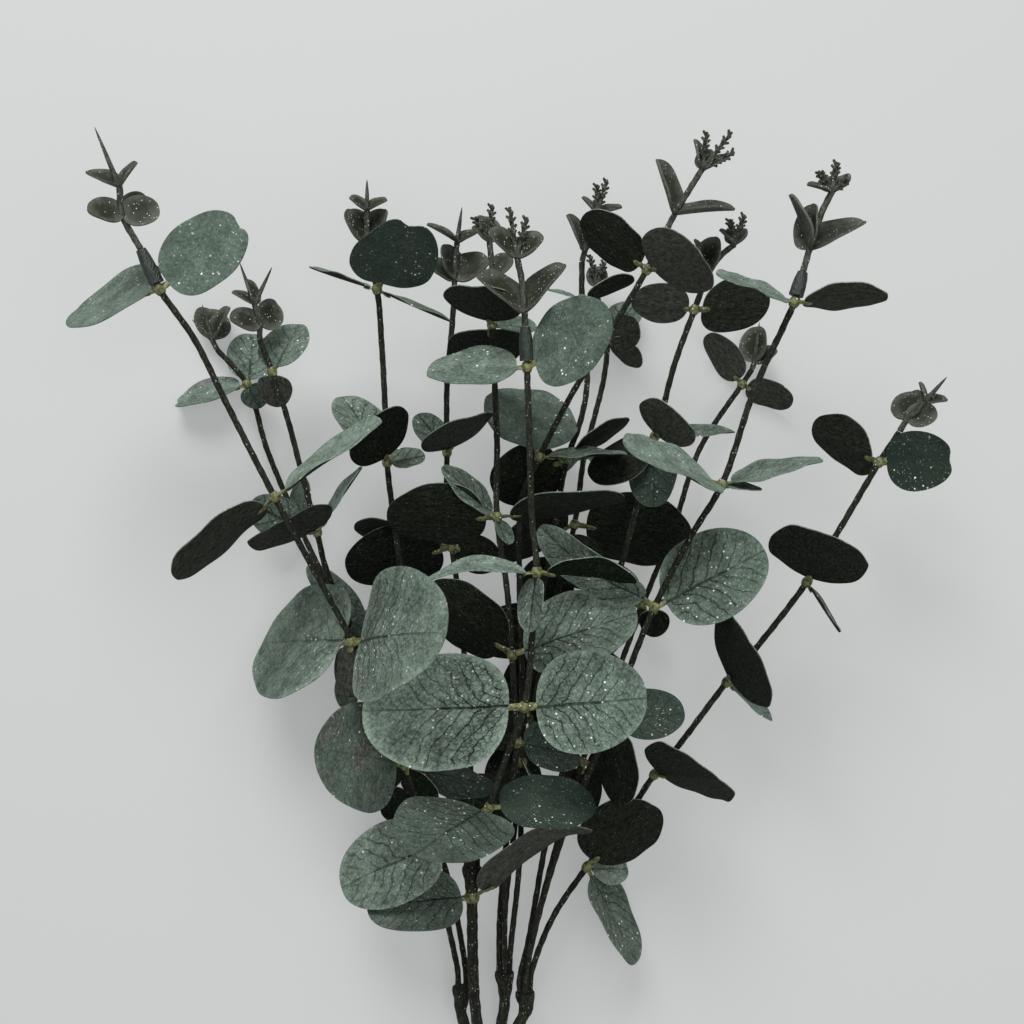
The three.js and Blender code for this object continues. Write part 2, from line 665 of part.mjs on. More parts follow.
for (const name of Object.keys(TWIGS)) {
  add(`twig_${name}`, twig(name), COLOURS.leaf);
}
for (const [name, parts] of Object.entries(TIPS)) add(`tip_${name}`, tip(parts), COLOURS.tip);
for (const [name, nodes] of Object.entries(MAIN_STEMS)) add(`main_stem_${name}`, mainStem(nodes), COLOURS.stem);
for (const name of SLEEVED) add(`sleeve_${name}`, sleeve(name), COLOURS.sleeve);
add("stalk", stalk(), COLOURS.stem);

export default branch;
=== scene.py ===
import math

import bpy
import numpy as np
from mathutils import Matrix, Vector


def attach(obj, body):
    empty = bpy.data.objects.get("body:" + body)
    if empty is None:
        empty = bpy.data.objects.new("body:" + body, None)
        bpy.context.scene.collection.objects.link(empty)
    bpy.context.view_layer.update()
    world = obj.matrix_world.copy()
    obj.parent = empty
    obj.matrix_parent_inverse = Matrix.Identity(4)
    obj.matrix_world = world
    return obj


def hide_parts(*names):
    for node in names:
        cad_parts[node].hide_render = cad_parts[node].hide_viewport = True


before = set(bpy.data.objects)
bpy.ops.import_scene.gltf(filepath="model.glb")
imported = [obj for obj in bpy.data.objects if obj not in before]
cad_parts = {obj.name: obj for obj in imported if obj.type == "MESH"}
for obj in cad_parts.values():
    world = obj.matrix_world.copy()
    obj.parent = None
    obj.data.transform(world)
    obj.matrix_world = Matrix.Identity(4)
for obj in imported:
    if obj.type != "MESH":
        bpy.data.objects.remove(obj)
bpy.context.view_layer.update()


# The stalk and the four main stems
# A short plain stalk, where four wire-cored stems are bound together. Each stem is moulded in dark plastic
# over its wire, a little lumpy, with fine fibres stuck in it, and widens into a fork where its twigs start.

# The branch is laid out in millimetres, in a plane through its middle that leans up from the surface.
MM = 0.001
EYE_HEIGHT = 569
LEAN = math.radians(10)
MIDDLE_HEIGHT = 51
ORIGIN_Y = -62.9
TO_SURFACE = Matrix.Translation((0, -ORIGIN_Y, MIDDLE_HEIGHT)) @ Matrix.Rotation(LEAN, 4, "X")


def at(x, y, h, *leaves):
    """A point of the layout as seen from the eye: x and y against the middle plane, h in front of it."""
    return {"x": x, "y": y, "h": h, "leaves": leaves}


def place(node):
    """The true place of a layout point, in the leaning middle plane's own frame."""
    nearness = (EYE_HEIGHT - node["h"]) / EYE_HEIGHT
    return Vector((node["x"] * nearness, node["y"] * nearness, node["h"]))


def leaf(tx, ty, wx, wy, side, bend, facing):
    """A leaf as it is seen: its tip from the stem's middle, and a line across its widest place."""
    return {"tx": tx, "ty": ty, "wx": wx, "wy": wy, "side": side, "bend": bend, "facing": facing}


def upper(tx, ty, wx, wy, bend=8, facing=1):
    return leaf(tx, ty, wx, wy, 1, bend, facing)


def under(tx, ty, wx, wy, bend=8, facing=1):
    return leaf(tx, ty, wx, wy, -1, bend, facing)


STALK = [at(-9.5, -227, 0), at(-9.5, -232, 0), at(-10, -271, 0)]
MAIN_STEMS = {
    "left_back": [at(-20, -190, -5), at(-20, -202, -5), at(-12, -219, -2.4), at(-12, -225.5, -2.4)],
    "left_front": [
        at(-16, -142, 6),
        at(-16, -154, 6, upper(-42, -5, 7, -20, 12), under(47, 27, 15, -7, 45)),
        at(-15, -195, 5),
        at(-12, -219, 2.5),
        at(-12, -225.5, 2.5),
    ],
    "right_middle": [at(-3, -184, -2), at(-3, -197, -2), at(-7, -219, -2.4), at(-7, -225.5, -2.4)],
    "right": [at(5.2, -192, 1), at(5.2, -200, 1), at(-7, -220, 2.4), at(-7, -225.5, 2.4)],
}
BINDING_RADIUS = 6.6
STALK_RADIUS = 4.6
STALK_SIDES = 24
STALK_LUMPS = 0.02
MAIN_STEM_RADIUS = 2.2
FORK_RADIUS = 3.9
FORK_LENGTH = 12
STEM_SIDES = 14
STEM_STEP = 1.6
STEM_LUMPS = 0.05
ANY_WAY = (1, 0.13, 0.21)
SHARP_EDGE = math.radians(48)


def smooth_line(points, step):
    """Points about a step apart on a centripetal Catmull-Rom line through the given points."""
    first = points[0] * 2 - points[1]
    last = points[-1] * 2 - points[-2]
    knots = [first, *points, last]
    line = []
    for i in range(1, len(knots) - 2):
        a, b, c, d = knots[i - 1 : i + 3]
        t1 = math.sqrt((b - a).length)
        t2 = t1 + math.sqrt((c - b).length)
        t3 = t2 + math.sqrt((d - c).length)
        count = max(1, round((c - b).length / step))
        for k in range(count):
            t = t1 + (t2 - t1) * k / count
            ab = a.lerp(b, t / t1)
            bc = b.lerp(c, (t - t1) / (t2 - t1))
            cd = c.lerp(d, (t - t2) / (t3 - t2))
            abc = ab.lerp(bc, t / t2)
            bcd = bc.lerp(cd, (t - t1) / (t3 - t1))
            line.append(abc.lerp(bcd, (t - t1) / (t2 - t1)))
    return line + [points[-1].copy()]


def straight_line(start, end, steps):
    return [start.lerp(end, k / steps) for k in range(steps + 1)]


def lump_at(turn, row):
    """Two ripples that run round and along a tube."""
    return math.sin(2 * turn + 1.7 * row) + math.sin(5.1 * row + 3 * turn) * 0.6


def closed_tube(line, wide, sides, flat=1.0, across=ANY_WAY, lumps=0.0):
    """A tube along a line: its vertices and faces. wide gives its radius at each share of the way."""
    count = len(line)
    rings = []
    side = Vector(across)
    for i, point in enumerate(line):
        along = (line[min(i + 1, count - 1)] - line[max(i - 1, 0)]).normalized()
        side = (side - along * side.dot(along)).normalized()
        up = along.cross(side)
        radius = wide(i / (count - 1))
        for k in range(sides):
            turn = 2 * math.pi * k / sides
            out = side * math.cos(turn) + up * math.sin(turn) * flat
            rings.append(point + out * (radius * (1 + lumps * lump_at(turn, i))))
    faces = []
    for i in range(count - 1):
        for k in range(sides):
            a = i * sides + k
            b = i * sides + (k + 1) % sides
            faces.append((a, b, b + sides, a + sides))
    faces.append(tuple(reversed(range(sides))))
    faces.append(tuple(range((count - 1) * sides, count * sides)))
    return rings, faces


def plain_part(vertices, faces):
    """A part of one material, with no blade on it."""
    nothing = [(0, 0, 0)] * len(vertices)
    return vertices, faces, [0] * len(faces), nothing, nothing


def on_surface(point):
    """A layout point in the branch's own frame, in metres. What would pass the surface lies flat on it."""
    placed = TO_SURFACE @ Vector(point)
    placed.z = max(placed.z, 0.0)
    return placed * MM


def new_piece(name, parts, materials, replaced):
    """One piece for a CAD node, from parts of (vertices, faces, material numbers, blade and frost values)."""
    points = []
    faces = []
    numbers = []
    blades = []
    frosts = []
    for vertices, part_faces, part_numbers, part_blades, part_frosts in parts:
        start = len(points)
        points.extend(vertices)
        faces.extend(tuple(start + v for v in face) for face in part_faces)
        numbers.extend(part_numbers)
        blades.extend(part_blades)
        frosts.extend(part_frosts)
    mesh = bpy.data.meshes.new(name)
    mesh.from_pydata([on_surface(p) for p in points], [], faces)
    for attribute, values in (("blade", blades), ("frost", frosts)):
        layer = mesh.attributes.new(attribute, "FLOAT_VECTOR", "POINT")
        layer.data.foreach_set("vector", np.array(values, np.float32).ravel())
    for material in materials:
        mesh.materials.append(material)
    mesh.polygons.foreach_set("material_index", numbers)
    mesh.polygons.foreach_set("use_smooth", [True] * len(faces))
    mesh.set_sharp_from_angle(angle=SHARP_EDGE)
    mesh.update()
    piece = bpy.data.objects.new(name, mesh)
    bpy.context.scene.collection.objects.link(piece)
    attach(piece, "root")
    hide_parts(replaced)


def tint(red, green, blue):
    """A colour given in the 0 to 255 steps of a screen, as the shader wants it."""
    steps = [c / 255 for c in (red, green, blue)]
    return (*[c / 12.92 if c <= 0.04045 else ((c + 0.055) / 1.055) ** 2.4 for c in steps], 1)


def add_node(tree, kind, inputs, **settings):
    """A shader node with its settings, and each input set to a value or linked to a socket."""
    made = tree.nodes.new(kind)
    for key, value in settings.items():
        setattr(made, key, value)
    for key, value in inputs.items():
        if isinstance(value, bpy.types.NodeSocket):
            tree.links.new(value, made.inputs[key])
        else:
            made.inputs[key].default_value = value
    return made


def math_node(tree, operation, *values, clamp=False):
    made = add_node(tree, "ShaderNodeMath", dict(enumerate(values)), operation=operation, use_clamp=clamp)
    return made.outputs[0]


def times(tree, value, factor, clamp=False):
    return math_node(tree, "MULTIPLY", value, factor, clamp=clamp)


def times_plus(tree, value, factor, added, clamp=False):
    return math_node(tree, "MULTIPLY_ADD", value, factor, added, clamp=clamp)


def mix_colours(tree, share, first, second):
    return add_node(tree, "ShaderNodeMix", {0: share, 6: first, 7: second}, data_type="RGBA").outputs[2]


def ramp(tree, value, low, high):
    """0 at low, 1 at high, and straight between."""
    inputs = {"Value": value, "From Min": low, "From Max": high}
    return add_node(tree, "ShaderNodeMapRange", inputs, clamp=True).outputs[0]


def noise(tree, at_place, scale, detail, roughness=0.5):
    """An uneven pattern around a half, with its scale given in lumps for each unit of the place."""
    inputs = {"Vector": at_place, "Scale": scale, "Detail": detail, "Roughness": roughness}
    return add_node(tree, "ShaderNodeTexNoise", inputs)


def drawn_out(tree, at_place, stretch):
    """A place whose patterns are drawn out along the axes with a small stretch."""
    return add_node(tree, "ShaderNodeMapping", {"Vector": at_place, "Scale": stretch}).outputs[0]


def new_group(name, inputs, outputs):
    """A node group with float and vector sockets: its tree, and its two end nodes."""
    tree = bpy.data.node_groups.new(name, "ShaderNodeTree")
    for socket, kind in inputs.items():
        tree.interface.new_socket(socket, in_out="INPUT", socket_type=kind)
    for socket, kind in outputs.items():
        tree.interface.new_socket(socket, in_out="OUTPUT", socket_type=kind)
    return tree, tree.nodes.new("NodeGroupInput"), tree.nodes.new("NodeGroupOutput")


def use_group(tree, group, **inputs):
    return add_node(tree, "ShaderNodeGroup", inputs, node_tree=group).outputs


def new_material(name, roughness, **constants):
    """A Principled material: its tree and its shader node, with the constant values set on the sockets."""
    material = bpy.data.materials.new(name)
    material.use_nodes = True
    tree = material.node_tree
    shader = tree.nodes["Principled BSDF"]
    shader.inputs["Roughness"].default_value = roughness
    for key, value in constants.items():
        shader.inputs[key.replace("_", " ")].default_value = value
    return material, tree, shader


def object_place(tree):
    return add_node(tree, "ShaderNodeTexCoord", {}).outputs["Object"]


def finish_surface(tree, shader, colour, height, depth):
    """Gives a material its colour, and relief of a depth in metres."""
    tree.links.new(colour, shader.inputs["Base Color"])
    relief = add_node(tree, "ShaderNodeBump", {"Height": height, "Strength": 1.0, "Distance": depth})
    tree.links.new(relief.outputs[0], shader.inputs["Normal"])


FLOAT = "NodeSocketFloat"
VECTOR = "NodeSocketVector"

# Fibres: streaks at two scales, with a few light loose ends among them.
FINER = 3.1
fibres, start, end = new_group(
    "fibres", {"Place": VECTOR, "Fineness": FLOAT}, {"Streaks": FLOAT, "Loose ends": FLOAT}
)
coarse = noise(fibres, start.outputs[0], start.outputs[1], 4, 0.65)
fine = noise(fibres, start.outputs[0], times(fibres, start.outputs[1], FINER), 3)
both = times_plus(fibres, fine.outputs[0], 0.5, coarse.outputs[0])
fibres.links.new(ramp(fibres, both, 0.6, 0.95), end.inputs[0])
fibres.links.new(ramp(fibres, fine.outputs[0], 0.62, 0.74), end.inputs[1])

# Glitter: single bright grains, most cells of the pattern staying empty.
GRAIN_EDGE = (0.27, 0.17)
GRAIN_CHANCE = (0.74, 0.86)
glitter, start, end = new_group("glitter", {"Place": VECTOR, "Spacing": FLOAT}, {"Grains": FLOAT})
cells = add_node(glitter, "ShaderNodeTexVoronoi", {"Vector": start.outputs[0], "Scale": start.outputs[1]})
chosen = add_node(glitter, "ShaderNodeSeparateColor", {"Color": cells.outputs["Color"]})
near = ramp(glitter, cells.outputs["Distance"], *GRAIN_EDGE)
glitter.links.new(times(glitter, near, ramp(glitter, chosen.outputs[0], *GRAIN_CHANCE)), end.inputs[0])

stem_plastic, tree, shader = new_material("dark moulded stem", 0.7, Specular_IOR_Level=0.2)
on_stem = object_place(tree)
streaks, loose_ends = use_group(tree, fibres, Place=drawn_out(tree, on_stem, (1, 0.16, 1)), Fineness=900)
grains = use_group(tree, glitter, Place=on_stem, Spacing=900)[0]
colour = mix_colours(tree, streaks, tint(8, 10, 6), tint(44, 47, 35))
colour = mix_colours(tree, times(tree, loose_ends, 0.9), colour, tint(112, 112, 98))
colour = mix_colours(tree, times(tree, grains, 0.8), colour, tint(168, 174, 168))
finish_surface(tree, shader, colour, streaks, 0.0005)


def new_stem(name, line, wide, sides, lumps, replaced):
    part = plain_part(*closed_tube(line, wide, sides, lumps=lumps))
    new_piece(name, [part], [stem_plastic], replaced)


def fork_width(way_down):
    """A main stem's radius at a share of its fork's length: wide at the top for its twigs, then even."""
    ease = max(0.0, 1 - way_down)
    return MAIN_STEM_RADIUS + (FORK_RADIUS - MAIN_STEM_RADIUS) * ease * ease * (3 - 2 * ease)


for name, nodes in MAIN_STEMS.items():
    line = smooth_line([place(n) for n in nodes], STEM_STEP)
    length = sum((b - a).length for a, b in zip(line, line[1:]))
    new_stem(
        f"main_stem_piece_{name}",
        line,
        lambda share: fork_width(share * length / FORK_LENGTH),
        STEM_SIDES,
        STEM_LUMPS,
        f"main_stem_{name}",
    )

top, shoulder, cut_end = [place(n) for n in STALK]
line = smooth_line([top, shoulder, cut_end], STEM_STEP)
binding_share = (shoulder - top).length / (cut_end - top).length


def stalk_width(share):
    ease = max(0.0, 1 - share / binding_share)
    return STALK_RADIUS + (BINDING_RADIUS - STALK_RADIUS) * ease


new_stem("stalk_piece", line, stalk_width, STALK_SIDES, STALK_LUMPS, "stalk")


# The twig stems
# Fourteen thin wire-cored stems in the same dark plastic, standing side by side on the main stems' forks.
# Each carries pairs of leaves on moulded collars and a moulded tip at its end.
FEET = {
    "left_outer": ["left_back", -1.6, 0],
    "left_back": ["left_back", 1.6, 0],
    "left_inner": ["left_front", -2.1, 0],
    "left_middle": ["left_front", 0, 2.2],
    "centre_left": ["left_front", 0, -2.2],
    "centre_front": ["left_front", 2.1, 0],
    "centre_high": ["right_middle", 0, 2.2],
    "centre_back": ["right_middle", -2.1, 0],
    "centre_far": ["right_middle", 0, -2.2],
    "right_crossing": ["right_middle", 2.1, 0],
    "right_inner": ["right", -2.1, 0],
    "right_middle": ["right", 0, 2.2],
    "right_back": ["right", 0, -2.2],
    "right_low": ["right", 2.1, 0],
}
TWIGS = {
    "left_outer": [
        at(-142, 91.5, 50.2),
        at(-141, 89, 50, upper(-33, -8, 16, 27), upper(33, 27, 20, -24)),
        at(-127, 69, 47),
        at(-115, 45, 44),
        at(-95, 6, 42, under(-39, -33, 6, -7, 4), upper(43, 30, 2, -12)),
        at(-75, -31, 33),
        at(-64, -52, 28, upper(-36, -1, -18, -44), upper(38, 4, 10, 52, 30), under(-2, -22, 15, -3)),
        at(-54, -78, 24),
        at(-43, -101, 17, upper(-36, 6, -1, -42), upper(36, -8, 4, -18, 8, -1), under(10, -19, 13, 2)),
        at(-34, -124, 4),
        at(-32, -134, -2),
        at(-26, -163, -5),
    ],
    "left_back": [
        at(-118, 65, -55),
        at(-106, 51, -53.5, upper(-29, -8, 2, -10), upper(2, 20, 18, -2), upper(6, -9, 9, 6)),
        at(-98, 25, -47),
        at(-84, -8, -38, upper(-21, 11, 6, 16), upper(1, 22, 10, -1)),
        at(-74, -29, -30),
        at(-61, -57, -19, upper(-18, 36, 14, -5), upper(-6, -22, 12, -4)),
        at(-50, -85, -17),
        at(-38, -115, -12, under(-14, -6, 8, -14), under(2, 18, 15, -1)),
        at(-26, -145, -10),
    ],
    "left_inner": [
        at(-101, 69, -12),
        at(-96, 56, -13, upper(10, 19, 19, -2), under(2, -14, 14, 0)),
        at(-90, 38, -12),
        at(-86, 23, -11),
        at(-78, -8, -8, upper(18, 26, 4, -3, 4), under(-20, 1, -29, -17)),
        at(-74, -24, -8),
        at(-60, -55, -7),
        at(-45, -89, -4, under(-18, -26, 20, -8, 8, -1)),
        at(-33, -119, 0),
        at(-25, -132, 7, upper(-43, -19, -13, 26, 22)),
    ],
    "left_middle": [
        at(-58, 104, 6),
        at(-54, 89, 6, upper(14, 28, 32, -6, 8, -1), upper(-27, 9, 0, -3, 2), upper(30, -13, 1, 3, 2)),
        at(-52, 65, 4),
        at(-51, 47, 3),
        at(-50, 20, 2, under(-4, 19, 23, 16), upper(-18, 26, 18, 4), upper(15, 3, 4, -8)),
        at(-47, -5, 1),
        at(-42, -40, 1, upper(-24, -20, 12, -16)),
        at(-34, -80, 2),
        at(-22, -120, 5),
    ],
    "centre_left": [
        at(-23, 88, -16),
        at(-24, 74, -16),
        at(-26, 51, -16),
        at(-26, 24, -16, under(10, 14, 27, 9), upper(-12, 15, 10, 6)),
        at(-26, 5, -15),
        at(-24, -14, -14, under(-42, -10, 8, -24), under(-39, 7, 2, -11), under(19, -6, 4, 15)),
        at(-20, -45, -10),
        at(-18, -80, -6),
        at(-16, -115, 0),
    ],
    "centre_high": [
        at(-9, 91, 13),
        at(-8, 75, 14, under(-8, 15, 31, -3), upper(18, -1, 3, -8), under(-5, -20, 30, 0)),
        at(-7, 53, 17),
        at(-6, 29, 20),
        at(-6, -2, 22, under(-44, -1, 2, -24), upper(-22, 20, 4, 8), upper(5, -11, 6, 0),
           under(51, 7, 0, -10)),
        at(-2, -31, 21),
        at(0, -57, 20, upper(50, 17, 5, -28), under(-35, 26, 14, 22)),
        at(1, -75, 18),
        at(2, -92, 16, upper(25, -5, 2, -17)),
        at(-2, -125, 4),
        at(-3, -160, 0),
    ],
    "centre_front": [
        at(6, 60.5, 45.2),
        at(6, 58, 45, upper(-40, -2, -2, -17), upper(34, 20, 7, -32)),
        at(7, 29, 46),
        at(8, -3, 46),
        at(10, -24, 50, upper(-45, -4, 0, -4, 70), under(40, -4, 0, -8, 50), upper(-3, -24, 10, 0)),
        at(8, -51, 44),
        at(5, -78, 42, upper(-65, -2, -3, -49, 8, -1), upper(49, 4, 2, -40)),
        at(-3, -100, 37),
        at(-9, -118, 33, upper(-30, -20, 40, -13), upper(42, 2, 6, -16)),
        at(-13, -131, 22),
    ],
    "centre_back": [
        at(28, 100, -14),
        at(28, 85, -14, upper(-14, 4, 1, -3), under(21, 8, 1, -4)),
        at(30, 51, -15),
        at(27, 35, -14),
        at(22, 21, -12, under(25, 16, 3, -5, 5), under(-30, -12, -9, 23)),
        at(16, -12, -11, under(20, -16, 14, 16)),
        at(9, -51, -10, under(-22, 6, 6, 18), under(20, -8, 6, -18)),
        at(4, -90, -9),
        at(-2, -130, -6),
        at(-5, -165, -4),
    ],
    "centre_far": [
        at(34, 87, -52),
        at(38, 69, -50, under(13, 5, 3, -14), upper(11, 15, 14, -4), under(14, -10, 2, 7),
           upper(-18, 4, 3, 12)),
        at(37, 55, -50),
        at(33, 38, -42),
        at(29, 23, -36, upper(14, -5, 2, 6), upper(-16, -8, 5, 11)),
        at(25, -5, -27, under(47, -6, 0, -29), under(-30, -10, 6, 20)),
        at(15, -45, -22, under(-29, -6, 4, -22), under(-3, 27, 23, 2, 8, -1), under(29, -6, 4, 22)),
        at(8, -83, -17, under(-29, -4, 4, -22), under(-2, 26, 23, 2, 8, -1), under(11, -5, 4, -12)),
        at(2, -120, -14, under(-28, 7, 6, 22), under(-3, 27, 23, 2, 8, -1)),
        at(-2.8, -160, -6),
    ],
    "right_crossing": [
        at(60, 109, 15),
        at(54, 97, 16, under(-26, 21, 8, 11), under(23, 4, 20, -24)),
        at(41, 75, 12),
        at(25, 49, 8),
        at(11, 22, 4, upper(-8, 27, 37, -2), upper(35, 1, 0, -4, 5)),
        at(4, 5, 2),
        at(3, -30, 4),
        at(4, -60, 5),
        at(4, -100, 4, under(5, -9, 5, -8, 8, -1)),
        at(3, -140, -1),
    ],
    "right_inner": [
        at(77, 92, 2),
        at(73, 81, 0, under(-25, 4, -3, -13), under(30, 2, -2, -20)),
        at(65, 59, -2),
        at(60, 40, -5),
        at(57, 30, -3, under(9, 10, 20, -17), upper(32, 2, 1, -5), under(-26, -16, 8, -14, 8, -1),
           upper(0, -28, 19, 2)),
        at(51, 6, -3),
        at(44, -20, -5),
        at(34, -55, -7, under(15, -13, 9, -14)),
        at(24, -90, -8),
        at(14, -130, -3),
        at(6.5, -172, 0),
    ],
    "right_middle": [
        at(113.6, 86.5, 46),
        at(113, 84, 46, upper(-31, 11, 3, -11), under(37, 1, 0, -6, 4)),
        at(109, 75, 45),
        at(97, 49, 42),
        at(84, 11, 38, upper(40, 10, 1, -6, 4), upper(-38, 14, 15, -20), upper(16, -2, 1, 3, 4)),
        at(72, -9, 34),
        at(57, -38, 28, upper(44, 23, 14, -31), upper(-46, 32, 10, 13, 60, -1), under(0, -12, 12, 0)),
        at(48, -60, 27),
        at(40, -83, 24, upper(29, 3, 2, -18), under(2, -34, 15, -2)),
        at(22, -125, 7),
        at(11, -160, 6),
    ],
    "right_back": [
        at(96, 57, -54),
        at(92, 51, -53.3, under(-14, 20, 8, 5), under(20, -8, 3, 9)),
        at(75, 25, -46),
        at(65, -5, -41),
        at(52, -38, -33, under(6, -10, 12, -2, 8, -1), upper(-24, 14, 10, 18)),
        at(40, -70, -26),
        at(28, -100, -19, under(-19, 12, 9, 14), under(-2, -25, 19, -1), under(20, -4, 3, 15)),
        at(16, -140, -9),
        at(8, -172, -3),
    ],
    "right_low": [
        at(155, 32, 14),
        at(147, 20, 12, under(-27, 12, 6, -21), upper(30, 1, 2, -24, 8, -1)),
        at(131, -7, 10),
        at(118, -28, 8, under(8, 19, 37, -13), upper(13, -20, 2, 2, 4)),
        at(98, -54, 5),
        at(86, -68, 4, under(9, 16, 19, -34), upper(18, -15, 2, 4, 6)),
        at(67, -93, 3),
        at(57, -105, 2, under(26, -2, 27, -24)),
        at(45, -123, 2),
        at(30, -142, 1, under(26, 25, 25, -16), upper(20, -38, 12, 4), upper(16, 0, 3, -13)),
        at(17, -161, 1),
        at(10, -177, 1),
    ],
}
TWIG_RADIUS = 1.2
TWIG_SIDES = 10
TWIG_LUMPS = 0.06
JOINT_GAP = 0.4
FOOT_LENGTH = 5


def twig_line(name):
    """A twig's middle line, from its top down to its foot on the main stem."""
    main_stem, sideways, forward = FEET[name]
    foot = place(MAIN_STEMS[main_stem][0]) + Vector((sideways, JOINT_GAP, forward))
    ankle = foot + Vector((0, FOOT_LENGTH, 0))
    return [*[place(n) for n in TWIGS[name]], ankle, foot]


for name in TWIGS:
    line = smooth_line(twig_line(name), STEM_STEP)
    new_stem(f"twig_stem_{name}", line, lambda share: TWIG_RADIUS, TWIG_SIDES, TWIG_LUMPS, f"twig_{name}")


# The leaves
# Fabric leaves in pairs, die-cut nearly round. The upper side is printed with a dark net of veins, frosted
# grey-green and dusted with fine glitter. The underside is nearly black and fibrous.
ARM_SHARE = 0.16
BASE_REACH = 0.07
LENGTH_TO_WIDTH = 1.1
ROLLED = 40
ROLLED_SHORTER = 2
SIGHT_ROUNDS = 5
ROUNDNESS = 0.85
BASE_FULLNESS = 0.12
LEAF_THICKNESS = 0.4
RIM_START = 2.2
RIM_WAVE = 0.020
RIM_RIPPLE = 0.010
RIPPLES_TO_WAVES = 2.3
CREASE_WIDTH = 1.6
NOTCH_REACH = 7
FINE_ROWS = 30
FINE_COLUMNS = 18
LEAST_FINENESS = 0.45
FINE_LENGTH = 60

# What varies from leaf to leaf is drawn from these spans.
BEND_SPREAD = (0.7, 1.3)
DISH = (5, 15)
PHASE = (2, 6)
FAINT_PHASE = (0, 0.6)
WAVES = (1.5, 3.5)
HOLLOW = (0.2, 0.7)
FROST = (0.5, 1)
WEAR = (0, 0.16)
FULL_VEINS = 6

# Single leaves, each given as its twig, the number of its node from the top, and its place there: how deep
# the notch in its tip is, how frosted it is (a low value also paints the shade on a shaded leaf as darker
# green), whether its veins are faint or strong, and how worn pale it is.
NOTCHED = {
    ("left_outer", 1, 1): 1.8,
    ("left_middle", 1, 0): 4,
    ("right_low", 1, 1): 2,
    ("left_back", 1, 0): 1.5,
}
# Less frost shows more of the dark green under it. On the leaves listed low here that is painted shade.
FROST_AND_PAINTED_SHADE = {
    ("left_middle", 1, 0): 0.12,
    ("right_low", 1, 1): 0,
    ("left_back", 1, 2): 0.1,
    ("left_outer", 8, 1): 0.15,
    ("left_outer", 1, 1): 0.4,
    ("left_outer", 6, 1): 0.85,
    ("right_middle", 8, 0): 0.1,
    ("right_crossing", 4, 0): 0.5,
    ("centre_front", 1, 1): 0.4,
    ("centre_front", 6, 1): 0.8,
    ("centre_high", 8, 0): 0.1,
    ("right_inner", 4, 3): 0.1,
    ("centre_front", 6, 0): 1.3,
    ("centre_front", 8, 0): 0.4,
    ("centre_front", 8, 1): 0.1,
    ("right_middle", 6, 0): 0.65,
    ("left_outer", 8, 0): 0.5,
}
FAINT = [
    ("left_outer", 1, 0),
    ("left_outer", 1, 1),
    ("centre_front", 1, 0),
    ("centre_front", 1, 1),
    ("centre_front", 4, 0),
    ("right_middle", 1, 0),
    ("right_middle", 4, 1),
    ("left_outer", 4, 1),
    ("right_crossing", 4, 0),
    ("left_back", 1, 0),
    ("left_middle", 1, 0),
    ("right_low", 1, 1),
    ("centre_front", 8, 1),
]
VEINED = [
    ("left_outer", 6, 1),
    ("centre_high", 6, 0),
    ("centre_front", 6, 0),
    ("centre_front", 6, 1),
    ("centre_front", 8, 0),
    ("right_middle", 6, 0),
]
PALE = {
    ("left_outer", 8, 0): 0.9,
    ("left_inner", 1, 1): 0.8,
    ("left_inner", 4, 1): 0.25,
    ("left_outer", 4, 0): 0.3,
    ("left_outer", 6, 2): 0.5,
    ("centre_left", 3, 0): 0.3,
    ("right_inner", 1, 0): 0.6,
    ("right_inner", 1, 1): 0.2,
    ("right_inner", 4, 0): 0.9,
    ("right_back", 1, 0): 0.6,
    ("right_back", 1, 1): 0.5,
    ("right_crossing", 1, 1): 0.8,
    ("right_middle", 1, 1): 0.35,
    ("centre_far", 1, 2): 0.5,
    ("centre_far", 1, 0): 0.3,
    ("right_low", 1, 0): 0.2,
    ("right_low", 5, 0): 0.15,
    ("right_low", 7, 0): 0.2,
    ("main_stem", 1, 1): 0.6,
}


class Stream:
    """A seeded stream of numbers from 0 to 1."""

    def __init__(self, seed):
        self.seed = seed

    def between(self, low, high):
        self.seed = self.seed * 16807 % 2147483647
        return low + (high - low) * (self.seed / 2147483647)


shape_stream = Stream(20241)
look_stream = Stream(777)


def standing(node, spec, arm_share):
    """How a leaf stands in depth, found from how its length and its width are seen."""
    share = 1 - arm_share
    root = place(node)
    ratio = (LENGTH_TO_WIDTH * (ROLLED_SHORTER if spec["bend"] > ROLLED else 1)) ** 2
    rise = 0
    turn = 0
    for _ in range(SIGHT_ROUNDS):
        tip = place(at(node["x"] + spec["tx"], node["y"] + spec["ty"], node["h"] + rise))
        nearness = (EYE_HEIGHT - node["h"] - rise / 2) / EYE_HEIGHT
        lx = (tip.x - root.x) * share
        ly = (tip.y - root.y) * share
        wx = spec["wx"] * nearness
        wy = spec["wy"] * nearness
        skew = lx * wx + ly * wy
        spare = ratio * (wx * wx + wy * wy) - (lx * lx + ly * ly)
        length_depth = (spare + math.sqrt(spare * spare + 4 * ratio * skew * skew)) / 2
        lz = math.sqrt(length_depth)
        wz = -(1 if skew >= 0 else -1) * math.sqrt((length_depth - spare) / ratio)
        along = Vector((lx, ly, lz))
        across = Vector((wx, wy, wz))
        normal = along.cross(across)
        if not turn:
            turn = 1 if normal.y * normal.z * spec["side"] * spec["facing"] > 0 else -1
        along.z *= turn
        across.z *= turn
        normal = along.cross(across)
        if normal.z * spec["side"] < 0:
            normal.negate()
        rise = along.z / share
    normal.normalize()
    length = along.length
    width = across.length
    along.normalize()
    return {
        "root": root,
        "along": along,
        "normal": normal,
        "across": normal.cross(along),
        "length": length,
        "width": width,
        "arm": length * arm_share / share,
    }


